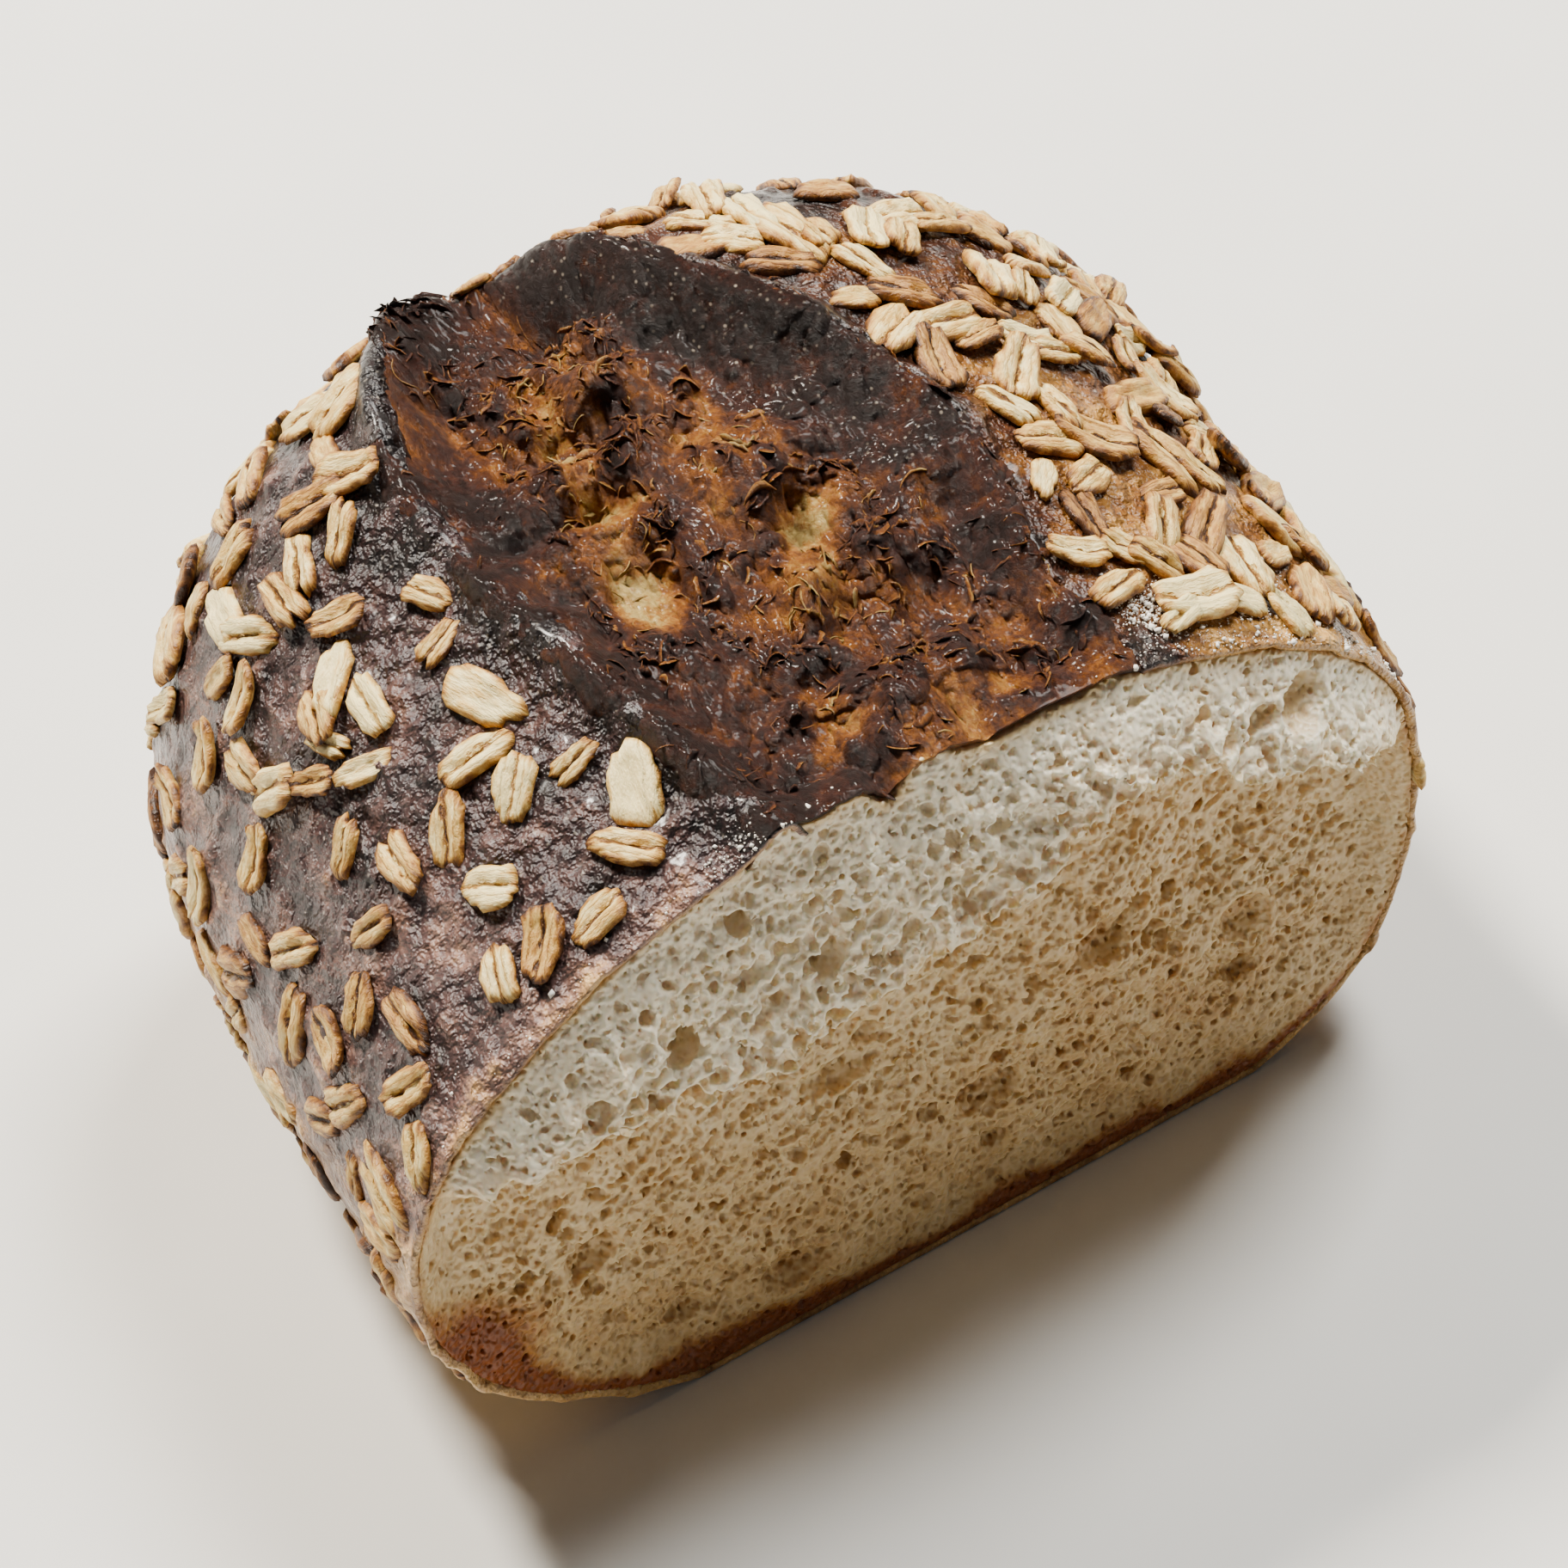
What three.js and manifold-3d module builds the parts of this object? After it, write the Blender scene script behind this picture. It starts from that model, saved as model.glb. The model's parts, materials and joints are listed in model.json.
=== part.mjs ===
// The uncut rest of an oat-topped sourdough loaf, cut across and standing on its base.
// Millimetres, +Z up. The origin is the middle of the flat base, the cut face looks along +X, and
// the torn bloom of the single slash runs along X over the top.
import * as THREE from "three";
import { mergeVertices } from "three/addons/utils/BufferGeometryUtils.js";
import Module from "manifold-3d";

// Driving dimensions of the loaf.
const WIDTH = 130;
const LENGTH = 89; // along the middle, from the blunt far end to the cut
const HEIGHT_AT_CUT = 80;
const FAR_RISE = 18; // how much higher the crown would stand at the far end before it rounds off
const WAIST = 37; // height of the widest level above the table
const BASE_DIP = 5; // how far the round underside would reach below the table it has sagged onto

// Roundness, as the exponents of superellipses: 2 is an ellipse, more is squarer.
const CROWN_ROUND = 2.2;
const END_ROUND = 5;
const UNDER_ROUND_LEFT = 2.1;
const UNDER_ROUND_RIGHT = 2.8;

// The knife went through a little out of square: it leans back and turns towards the right side.
const CUT_LEAN = 0.035;
const CUT_TURN = -0.092;
const CUT_PIVOT_Z = 35;
const ORIGIN_TO_CUT = LENGTH / 2;

// The cut face: crumb below the crust bulges forward to a torn ledge, and steps back under it.
// The ledge is given as [distance to the right of the middle, height] pairs.
const LEDGE_LEFT = [[-60, 53], [-45, 57.5], [-25, 54.5], [-8, 56.5], [9, 57.5]];
const LEDGE_RIGHT = [[16, 65], [31, 64.5], [39, 57], [46, 57], [60, 48]];
const LEDGE = [...LEDGE_LEFT, ...LEDGE_RIGHT];
const LEDGE_OUT = 6.5;
const LEDGE_STEP = 2.5; // height over which the face falls back under the ledge
const UNDER_LEDGE = 1.2; // how far it falls back behind the knife's plane
const LEDGE_BAND = 22; // height from the ledge to the crust over it
const TEAR = 0.9; // roughness of the torn crumb
const TEAR_SIZE = 7;

// The bloom, as [distance back from the cut, value] pairs joined by smooth curves.
const LEFT_EDGE = [[0, -17], [25, -24.5], [55, -31], [77, -25], [89, -12]];
const RIGHT_EDGE = [[0, 28], [16, 24], [35, 25], [52, 17], [72, 3], [89, -8]];
const BAND_WIDTH = [[0, 2], [26, 2], [38, 11.5], [50, 12.5], [66, 8], [89, 3]];
const BLOOM_DEPTH = [[0, 2.2], [30, 3.4], [60, 6.5], [76, 8], [89, 3]];
const LIP_HEIGHT = 2.2; // the scorched left edge
const LIP_WIDTH = 3.2;
const CREST_HEIGHT = 3; // the ear along the right edge
const CREST_WIDTH = 3;
const CREST_STARTS = 26;
const CREST_FULL = 38;
const BLOOM_ENDS = 84;
const WALL = 6; // width of the slope from an edge to the floor of the bloom
const RELIEF_FADES = 15; // height over which relief grows: from the table, and from the waist
const MIDDLE_SWELL = 0.45; // share of the depth that the swollen middle of the floor takes back
const SWELL_WIDTH = 0.3; // as a share of the bloom's width
const CRAG_HEIGHT = 4.4;
const CRAG_SIZE = 8.5;
const CRAG_LEVEL = 0.35;
const LIP_UNEVEN = 0.6; // share by which the lip's height comes and goes, and the length it takes
const LIP_UNEVEN_SIZE = 6;
const EAR_UNEVEN = 0.35;
const EAR_UNEVEN_SIZE = 7;
const LUMP_HEIGHT = 1;
const LUMP_SIZE = 21;
const FACING_STEP = 0.02; // how far apart the places are that tell which way the skin faces

// Rolled oat flakes pressed onto the skin.
const FLAKE_LENGTH = 9.4;
const FLAKE_WIDTH = 5.2;
const FLAKE_THICK = 2.1;
const FLAKE_TOP = 0.7; // size of its top, as a share of its base
const FLAKE_SMALLEST = 0.82;
const FLAKE_LARGEST = 1.18;
const FLAKE_LEAN = 0.1; // the most that one leans, in radians
const FLAKE_SIDES = 6;
const FLAKE_SUNK = 0.55;
const FLAKE_TRIES = 430;
const FLAKE_FROM_CUT = 5.5;
const FLAKE_FROM_LIP = 4.5;
const FLAKE_FROM_EAR = 3.5;
const FLAKES_REACH = 0.93; // share of the walk to the far tip that has flakes
const BLOOM_ABOVE_WAIST = 12;
const FLAKES_LEFT = 0.42; // share of the tries that stick on the left flank
const FLAKES_RIGHT = 0.8;
const FLAKES_BELOW_WAIST = 1; // how far below the waist they reach, as a turn in radians
const FLAKES_START_Z = 8;
const FLAKES_FULL_Z = 26;

// Hollows in the cut crumb: [across, height, half width, half height, depth].
const HOLLOWS = [
  [20, 57.5, 7.5, 7, 7.5],
  [38, 57, 6.5, 6, 7],
  [49.5, 58.5, 4.4, 3.4, 5],
  [-21, 45.5, 5, 2.6, 3],
  [-10.5, 33, 5.5, 2.2, 2.6],
  [-20, 10, 4.6, 2.8, 3],
  [-49, 47, 4, 2.4, 2.6],
  [-43, 27, 3.6, 2.6, 2.8],
  [-33, 11, 2.8, 2, 2.2],
  [7, 20, 4.4, 3, 3],
  [24, 35, 5.6, 3.4, 3.6],
  [42, 25, 4.2, 3.6, 3.2],
  [4, 46, 3.4, 2.2, 2.4],
];

// Rows of corners: round the section, the same number over the crown as under it, and lengthways.
const STATIONS = 25;
const ACROSS = 34;
const TO_RIGHT_EDGE = 9;
const TO_LEFT_EDGE = 26;
const ROWS_UNDER_LEDGE = 5;
const ROWS_OVER_LEDGE = 4;
const PLAIN_FROM_END = 12; // how far before the bloom's end the rows start to run straight again
const FLATTEST = 0.06; // corners that stand out less than this are left out
const LEAST_OVER_LEDGE = 0.15; // shares of a column of the face that stay over and under the ledge
const LEAST_UNDER_LEDGE = 0.5;
const LEAST_UNDER_FOOT = 0.35;
const RELIEF_FROM_CRUST = 8; // distance from the crust at which the face's relief is full

// Even, unclumped sequences: multiples of these, with whole numbers dropped.
const STEP_A = 0.7548776662;
const STEP_B = 0.569840291;
const STEP_C = 0.6180339887;
const STEP_D = 0.4142135624;

const frac = (v) => v - Math.floor(v);
const mix = (a, b, share) => a + (b - a) * share;
const fade = (v) => v * v * (3 - 2 * v);
const ramp = (v, from, to) => fade(Math.min(1, Math.max(0, (v - from) / (to - from))));
const bump = (v) => Math.exp(-v * v);
const signedPower = (v, power) => Math.sign(v) * Math.abs(v) ** power;

// Smooth random values between -1 and 1 that repeat for the same place.
function noise(x, y, z) {
  const corner = (i, j, k) => frac(Math.sin(i * 127.1 + j * 311.7 + k * 74.7) * 43758.5453);
  const [i, j, k] = [Math.floor(x), Math.floor(y), Math.floor(z)];
  const [u, v, w] = [fade(x - i), fade(y - j), fade(z - k)];
  const layer = (h) =>
    mix(
      mix(corner(i, j, h), corner(i + 1, j, h), u),
      mix(corner(i, j + 1, h), corner(i + 1, j + 1, h), u),
      v,
    );
  return 2 * mix(layer(k), layer(k + 1), w) - 1;
}

// The value at x of the smooth curve through [x, value] pairs.
function along(pairs, x) {
  const last = pairs.length - 1;
  const at = Math.min(pairs[last][0], Math.max(pairs[0][0], x));
  let n = 0;
  while (n < last - 1 && at > pairs[n + 1][0]) n += 1;
  const slope = (m) => {
    const [a, b] = [pairs[Math.max(0, m - 1)], pairs[Math.min(last, m + 1)]];
    return (b[1] - a[1]) / (b[0] - a[0]);
  };
  const span = pairs[n + 1][0] - pairs[n][0];
  const s = (at - pairs[n][0]) / span;
  return (
    mix(pairs[n][1], pairs[n + 1][1], fade(s)) +
    span * s * (1 - s) * (slope(n) * (1 - s) - slope(n + 1) * s)
  );
}

// How far forward the knife's plane stands at a place on the section.
const cutForward = (y, z) => CUT_LEAN * (CUT_PIVOT_Z - z) + CUT_TURN * y;

// A point on the smooth loaf. back runs from 0 at the cut to 1 at the far end, shrink is the share
// of the full section left there, and turn goes round from the right side over the crown.
function smoothPoint({ back, shrink }, turn) {
  const [c, s] = [Math.cos(turn), Math.sin(turn)];
  const over = s >= 0;
  const under = c < 0 ? UNDER_ROUND_LEFT : UNDER_ROUND_RIGHT;
  const power = 2 / (over ? CROWN_ROUND : under);
  const reach = over ? HEIGHT_AT_CUT + FAR_RISE * back - WAIST : WAIST + BASE_DIP;
  const y = (WIDTH / 2) * shrink * signedPower(c, power);
  const z = Math.max(0, WAIST + reach * shrink * signedPower(s, power));
  return new THREE.Vector3(ORIGIN_TO_CUT - back * LENGTH + (1 - back) * cutForward(y, z), y, z);
}

// The bloom's relief at a distance back from the cut: how far the skin moves outwards.
function bloomRelief(backMm, y) {
  const [left, right] = [along(LEFT_EDGE, backMm), along(RIGHT_EDGE, backMm)];
  const slope = Math.max(WALL, along(BAND_WIDTH, backMm) + WALL / 2);
  const inside = ramp(y, left - 1, left + WALL) * (1 - ramp(y, right - slope, right - 1));
  const offMiddle = (y - (left + right) / 2) / (SWELL_WIDTH * (right - left));
  const depth = along(BLOOM_DEPTH, backMm) * (1 - MIDDLE_SWELL * bump(offMiddle));
  const crags = Math.abs(noise(backMm / CRAG_SIZE, y / CRAG_SIZE, 3)) - CRAG_LEVEL;
  const lip =
    LIP_HEIGHT * bump((y - left) / LIP_WIDTH) * (1 + LIP_UNEVEN * noise(backMm / LIP_UNEVEN_SIZE, 0, 9));
  const crest =
    CREST_HEIGHT *
    bump((y - right + 1) / CREST_WIDTH) *
    ramp(backMm, CREST_STARTS, CREST_FULL) *
    (1 + EAR_UNEVEN * noise(backMm / EAR_UNEVEN_SIZE, 5, 0));
  const floor = inside * (CRAG_HEIGHT * crags - depth);
  return (floor + lip + crest) * (1 - ramp(backMm, BLOOM_ENDS - 10, BLOOM_ENDS + 3));
}

// A point on the real skin: the smooth loaf with its lumps and the bloom.
function skinPoint(station, turn) {
  const p = smoothPoint(station, turn);
  if (p.z <= 0) return p;
  const step = FACING_STEP;
  const across = smoothPoint(station, turn + step).sub(smoothPoint(station, turn - step));
  const ahead = (delta) => smoothPoint(stationAt(station.arc + delta), turn);
  const lengthways = ahead(-step).sub(ahead(step));
  const out = across.cross(lengthways).normalize();
  const lumps = LUMP_HEIGHT * noise(p.x / LUMP_SIZE, p.y / LUMP_SIZE, p.z / LUMP_SIZE);
  const bloom = bloomRelief(station.back * LENGTH, p.y) * ramp(p.z, WAIST, WAIST + RELIEF_FADES);
  p.addScaledVector(out, lumps * ramp(p.z, 0, RELIEF_FADES) + bloom);
  p.z = Math.max(0, p.z);
  return p;
}

// Stations along the plan outline, from the middle of the cut to the tip of the far end, with arc
// as the share of that walk. The walk is a superellipse, so it is measured once and looked up.
const WALK_STEPS = 4000;
const walk = (() => {
  const places = [];
  let length = 0;
  for (let n = 0; n <= WALK_STEPS; n += 1) {
    const angle = (Math.PI / 2) * (n / WALK_STEPS) ** (END_ROUND / 2);
    const back = Math.sin(angle) ** (2 / END_ROUND);
    const shrink = Math.max(0, Math.cos(angle)) ** (2 / END_ROUND);
    const last = places[n - 1];
    if (last) {
      length += Math.hypot((back - last.back) * LENGTH, ((shrink - last.shrink) * WIDTH) / 2);
    }
    places.push({ back, shrink: n === WALK_STEPS ? 0 : shrink, length });
  }
  return places;
})();

function stationAt(arc) {
  const wanted = Math.min(1, Math.max(0, arc)) * walk[WALK_STEPS].length;
  let [low, high] = [0, WALK_STEPS];
  while (high - low > 1) {
    const middle = (low + high) >> 1;
    if (walk[middle].length < wanted) low = middle;
    else high = middle;
  }
  const span = walk[high].length - walk[low].length;
  const share = span > 0 ? (wanted - walk[low].length) / span : 0;
  return {
    arc,
    back: mix(walk[low].back, walk[high].back, share),
    shrink: mix(walk[low].shrink, walk[high].shrink, share),
  };
}

// The turn over the crown, or under the waist, at which a section reaches across to y.
function turnReaching(y, halfWidth, over) {
  const under = y < 0 ? UNDER_ROUND_LEFT : UNDER_ROUND_RIGHT;
  const share = Math.min(1, Math.abs(y) / halfWidth);
  const turn = Math.acos(share ** ((over ? CROWN_ROUND : under) / 2));
  const left = y < 0 ? Math.PI - turn : turn;
  return over ? left : 2 * Math.PI - left;
}

// The turns of a station's corners, with one on each edge of the bloom as far back as it reaches.
function stationTurns(station) {
  const halfWidth = (WIDTH / 2) * Math.max(station.shrink, 0.05);
  const backMm = station.back * LENGTH;
  const plain = ramp(backMm, BLOOM_ENDS - PLAIN_FROM_END, LENGTH - 1);
  const edge = (pairs, rest) => {
    const y = Math.min(0.9, Math.max(-0.9, along(pairs, backMm) / halfWidth)) * halfWidth;
    return mix(turnReaching(y, halfWidth, true), rest, plain);
  };
  const right = edge(RIGHT_EDGE, 0.3 * Math.PI);
  const left = Math.max(edge(LEFT_EDGE, 0.7 * Math.PI), right + 0.2);
  const over = Array.from({ length: ACROSS + 1 }, (_, n) => {
    if (n <= TO_RIGHT_EDGE) return mix(0, right, n / TO_RIGHT_EDGE);
    if (n <= TO_LEFT_EDGE) {
      return mix(right, left, (n - TO_RIGHT_EDGE) / (TO_LEFT_EDGE - TO_RIGHT_EDGE));
    }
    return mix(left, Math.PI, (n - TO_LEFT_EDGE) / (ACROSS - TO_LEFT_EDGE));
  });
  const under = over.slice(1, ACROSS).map((turn) => {
    const y = halfWidth * signedPower(Math.cos(turn), 2 / CROWN_ROUND);
    return turnReaching(y, halfWidth, false);
  });
  return [...over, ...under.reverse()];
}

// How far the torn crumb stands out from the knife's plane at a place on the cut face. inward is
// the distance from the crust.
function crumbRelief(y, z, inward) {
  const over = z - along(LEDGE, y);
  const band = Math.max(0, 1 - over / LEDGE_BAND) * LEDGE_OUT;
  const drop = ramp(-over, 0, LEDGE_STEP);
  const low = UNDER_LEDGE * ramp(z, 3, 20);
  const torn = TEAR * noise(y / TEAR_SIZE, z / TEAR_SIZE, 11);
  const relief = (over > 0 ? band : mix(LEDGE_OUT, -low, drop)) + torn;
  return relief * ramp(inward, 0, RELIEF_FROM_CRUST);
}

// One column of corners down the cut face, from the crust above to the crust below, with a corner
// on the ledge and one at the foot of the step under it.
function faceColumn(top, bottom) {
  const tall = top.z - bottom.z;
  const wanted = along(LEDGE, top.y);
  const lowest = bottom.z + LEAST_UNDER_LEDGE * tall;
  const ledge = Math.min(top.z - LEAST_OVER_LEDGE * tall, Math.max(lowest, wanted));
  const foot = Math.max(bottom.z + LEAST_UNDER_FOOT * tall, ledge - LEDGE_STEP);
  const heights = [];
  for (let n = 1; n < ROWS_OVER_LEDGE; n += 1) heights.push(mix(top.z, ledge, n / ROWS_OVER_LEDGE));
  heights.push(ledge);
  for (let n = 0; n < ROWS_UNDER_LEDGE; n += 1) heights.push(mix(foot, bottom.z, n / ROWS_UNDER_LEDGE));
  return heights.map((z) => {
    const y = mix(bottom.y, top.y, (z - bottom.z) / tall);
    const rim = skinDistance(y, z);
    return new THREE.Vector3(ORIGIN_TO_CUT + cutForward(y, z) + crumbRelief(y, z, rim), y, z);
  });
}

// Roughly how far a place on the cut face is from the crust round it.
function skinDistance(y, z) {
  const over = z > WAIST;
  const across = (2 * Math.abs(y)) / WIDTH;
  const tall = Math.abs(z - WAIST) / (over ? HEIGHT_AT_CUT - WAIST : WAIST);
  const power = over ? CROWN_ROUND : UNDER_ROUND_RIGHT;
  return (1 - (across ** power + tall ** power) ** (1 / power)) * (HEIGHT_AT_CUT / 2);
}

// The whole loaf as one closed shell: the skin from the cut to the tip of the far end, then the
// cut face between the first row's upper and lower corners.
function bodyGeometry() {
  const rows = Array.from({ length: STATIONS }, (_, n) => {
    const station = stationAt(n / STATIONS);
    return stationTurns(station).map((turn) => skinPoint(station, turn));
  });
  const around = rows[0].length;
  const corners = rows.flat();
  const index = (row, n) => row * around + (n % around);
  const triangles = [];
  for (let row = 0; row < STATIONS - 1; row += 1) {
    for (let n = 0; n < around; n += 1) {
      const [a, b] = [index(row, n), index(row, n + 1)];
      const [c, d] = [index(row + 1, n), index(row + 1, n + 1)];
      triangles.push(a, c, b, b, c, d);
    }
  }
  const tip = corners.push(skinPoint(stationAt(1), Math.PI / 2)) - 1;
  for (let n = 0; n < around; n += 1) {
    triangles.push(index(STATIONS - 1, n), tip, index(STATIONS - 1, n + 1));
  }
  const column = Array.from({ length: ACROSS + 1 }, (_, n) => {
    if (n === 0 || n === ACROSS) return null;
    const [top, bottom] = [n, around - n];
    const inner = faceColumn(corners[top], corners[bottom]).map((p) => corners.push(p) - 1);
    return [top, ...inner, bottom];
  });
  for (let n = 0; n < ACROSS; n += 1) {
    const [right, left] = [column[n], column[n + 1]];
    const ladder = (right ?? left).length - 1;
    for (let row = 0; row < ladder; row += 1) {
      if (!right) triangles.push(0, left[row], left[row + 1]);
      else if (!left) triangles.push(right[row], ACROSS, right[row + 1]);
      else {
        triangles.push(right[row], left[row], right[row + 1]);
        triangles.push(left[row], left[row + 1], right[row + 1]);
      }
    }
  }
  const geometry = new THREE.BufferGeometry();
  const positions = corners.flatMap((p) => p.toArray());
  geometry.setAttribute("position", new THREE.Float32BufferAttribute(positions, 3));
  geometry.setIndex(triangles);
  return geometry;
}

// One rolled oat flake: a low six-sided slab with a smaller top, its length along X.
function flakeGeometry(length, width, thick) {
  const ring = (share, z) =>
    Array.from({ length: FLAKE_SIDES }, (_, n) => {
      const angle = (n / FLAKE_SIDES) * 2 * Math.PI;
      return [(length / 2) * share * Math.cos(angle), (width / 2) * share * Math.sin(angle), z];
    });
  const corners = [...ring(1, -FLAKE_SUNK), ...ring(FLAKE_TOP, thick - FLAKE_SUNK)];
  const faces = [];
  for (let n = 0; n < FLAKE_SIDES; n += 1) {
    const next = (n + 1) % FLAKE_SIDES;
    faces.push(n, next, FLAKE_SIDES + n, next, FLAKE_SIDES + next, FLAKE_SIDES + n);
    if (n > 0 && n < FLAKE_SIDES - 1) {
      faces.push(0, next, n, FLAKE_SIDES, FLAKE_SIDES + n, FLAKE_SIDES + next);
    }
  }
  const geometry = new THREE.BufferGeometry();
  geometry.setAttribute("position", new THREE.Float32BufferAttribute(corners.flat(), 3));
  geometry.setIndex(faces);
  return geometry;
}

// The share of flakes that stick at a place: none in the bloom, at the cut or near the table.
function flakeDensity(station, p) {
  const backMm = station.back * LENGTH;
  const crown = p.z > WAIST + BLOOM_ABOVE_WAIST && backMm < BLOOM_ENDS;
  const [left, right] = [along(LEFT_EDGE, backMm), along(RIGHT_EDGE, backMm)];
  if (crown && p.y > left - FLAKE_FROM_LIP && p.y < right + FLAKE_FROM_EAR) return 0;
  if (backMm < FLAKE_FROM_CUT) return 0;
  const side = p.y > 0 ? FLAKES_RIGHT : FLAKES_LEFT;
  return side * ramp(p.z, FLAKES_START_Z, FLAKES_FULL_Z) * station.shrink;
}

// The walk over the crown, from below the right side's waist to below the left's.
const CROWN_STEPS = 720;
const turnOfStep = (n) => mix(-FLAKES_BELOW_WAIST, Math.PI + FLAKES_BELOW_WAIST, n / CROWN_STEPS);
const crownWalk = [0];
for (let n = 1; n <= CROWN_STEPS; n += 1) {
  const [a, b] = [n - 1, n].map((m) => smoothPoint(stationAt(0), turnOfStep(m)));
  crownWalk.push(crownWalk[n - 1] + a.distanceTo(b));
}

// The turn at a share of that walk, as measured along the skin.
function turnAtShare(share) {
  const wanted = share * crownWalk[CROWN_STEPS];
  let n = 1;
  while (crownWalk[n] < wanted) n += 1;
  return turnOfStep(n - 1 + (wanted - crownWalk[n - 1]) / (crownWalk[n] - crownWalk[n - 1]));
}

// Where each flake lies: its place, the way it faces and its size.
function flakePlaces() {
  const places = [];
  for (let n = 1; n <= FLAKE_TRIES; n += 1) {
    const station = stationAt(FLAKES_REACH * frac(n * STEP_A));
    const turn = turnAtShare(frac(n * STEP_B));
    const p = skinPoint(station, turn);
    if (frac(n * STEP_C) >= flakeDensity(station, p)) continue;
    const step = FACING_STEP;
    const ahead = skinPoint(stationAt(station.arc - step), turn);
    const behind = skinPoint(stationAt(station.arc + step), turn);
    const across = skinPoint(station, turn + step).sub(skinPoint(station, turn - step));
    const out = across.cross(ahead.sub(behind)).normalize();
    const heading = frac(n * STEP_D) * Math.PI;
    const size = mix(FLAKE_SMALLEST, FLAKE_LARGEST, frac(n * STEP_C * 7));
    places.push({ p, out, heading, size, lean: mix(-FLAKE_LEAN, FLAKE_LEAN, frac(n * STEP_A * 5)) });
  }
  return places;
}

// Turns a flake so that it lies on the skin, and moves it there.
function layFlake(geometry, { p, out, heading, lean }) {
  const upright = new THREE.Quaternion().setFromUnitVectors(new THREE.Vector3(0, 0, 1), out);
  const spin = new THREE.Quaternion().setFromAxisAngle(new THREE.Vector3(0, 0, 1), heading);
  const tip = new THREE.Quaternion().setFromAxisAngle(new THREE.Vector3(0, 1, 0), lean);
  geometry.applyQuaternion(upright.multiply(spin).multiply(tip));
  geometry.translate(p.x, p.y, p.z);
  return geometry;
}

// An egg-shaped cutter for a hollow in the cut face.
function hollowGeometry([y, z, halfWidth, halfHeight, depth]) {
  const geometry = new THREE.IcosahedronGeometry(1, 1);
  geometry.scale(depth, halfWidth, halfHeight);
  geometry.translate(ORIGIN_TO_CUT + cutForward(y, z) + crumbRelief(y, z, 20) + depth / 4, y, z);
  return geometry;
}

const wasm = await Module();
wasm.setup();

function solidFrom(geometry) {
  geometry.deleteAttribute("normal");
  geometry.deleteAttribute("uv");
  const merged = mergeVertices(geometry, 1e-4);
  return new wasm.Manifold(
    new wasm.Mesh({
      numProp: 3,
      vertProperties: new Float32Array(merged.attributes.position.array),
      triVerts: new Uint32Array(merged.index.array),
    }),
  );
}

function geometryFrom(solid) {
  const mesh = solid.getMesh();
  const geometry = new THREE.BufferGeometry();
  geometry.setAttribute("position", new THREE.BufferAttribute(mesh.vertProperties, 3));
  geometry.setIndex(new THREE.BufferAttribute(mesh.triVerts, 1));
  geometry.computeVertexNormals();
  return geometry;
}

function loafGeometry() {
  let loaf = solidFrom(bodyGeometry());
  for (const hollow of HOLLOWS) {
    loaf = loaf.subtract(solidFrom(hollowGeometry(hollow)));
  }
  for (const place of flakePlaces()) {
    const { size } = place;
    const flake = flakeGeometry(FLAKE_LENGTH * size, FLAKE_WIDTH * size, FLAKE_THICK);
    loaf = loaf.add(solidFrom(layFlake(flake, place)));
  }
  const [shell] = loaf.decompose().sort((a, b) => b.volume() - a.volume());
  return geometryFrom(shell.asOriginal().simplify(FLATTEST));
}

const bakedCrust = new THREE.MeshStandardMaterial({ color: "#7a4a2c", roughness: 0.6, metalness: 0 });

const loaf = new THREE.Mesh(loafGeometry(), bakedCrust);
loaf.name = "loaf";

const sourdough = new THREE.Group();
sourdough.add(loaf);

export default sourdough;
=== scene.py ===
"""Dress the cut, oat-topped sourdough loaf: baked crust, torn bloom, open crumb and rolled oats.

The loaf's form is worked out here from the same named sizes as the solid, in millimetres, and every
mesh is turned to metres when it is made.
"""
import json
import logging
import math
from dataclasses import dataclass, field
from enum import Enum
from functools import cached_property

import bpy
import numpy as np
import openvdb
from mathutils import Matrix, Vector

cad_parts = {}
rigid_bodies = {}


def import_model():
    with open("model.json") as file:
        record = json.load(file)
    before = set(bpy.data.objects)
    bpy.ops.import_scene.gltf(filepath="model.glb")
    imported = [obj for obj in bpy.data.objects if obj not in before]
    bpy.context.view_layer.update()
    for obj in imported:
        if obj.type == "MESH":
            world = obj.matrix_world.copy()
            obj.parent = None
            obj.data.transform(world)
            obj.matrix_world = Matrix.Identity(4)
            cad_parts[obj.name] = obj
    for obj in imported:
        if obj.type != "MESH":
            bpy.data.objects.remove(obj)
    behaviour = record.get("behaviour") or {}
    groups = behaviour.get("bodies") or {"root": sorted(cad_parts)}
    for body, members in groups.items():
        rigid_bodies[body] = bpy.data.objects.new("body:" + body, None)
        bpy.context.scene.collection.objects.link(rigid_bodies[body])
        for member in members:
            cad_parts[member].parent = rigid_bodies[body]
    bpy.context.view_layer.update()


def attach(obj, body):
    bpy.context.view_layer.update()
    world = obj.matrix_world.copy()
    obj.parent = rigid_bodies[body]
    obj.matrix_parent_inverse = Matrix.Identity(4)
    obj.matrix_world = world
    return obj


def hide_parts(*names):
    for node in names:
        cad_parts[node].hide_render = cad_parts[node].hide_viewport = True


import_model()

Array = np.ndarray
Pairs = tuple[tuple[float, float], ...]
Stops = tuple[tuple[float, str], ...]
Socket = bpy.types.NodeSocket
MM = 0.001
PER_METRE = 1000
BODY = "root"
NODE = "loaf"
log = logging.getLogger("loaf")

# Even, unclumped sequences: multiples of these, with whole numbers dropped.
STEP_A = 0.7548776662
STEP_B = 0.569840291
STEP_C = 0.6180339887
STEP_D = 0.4142135624


def frac(values: Array) -> Array:
    """Drop the whole numbers of values."""
    return values - np.floor(values)


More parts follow.
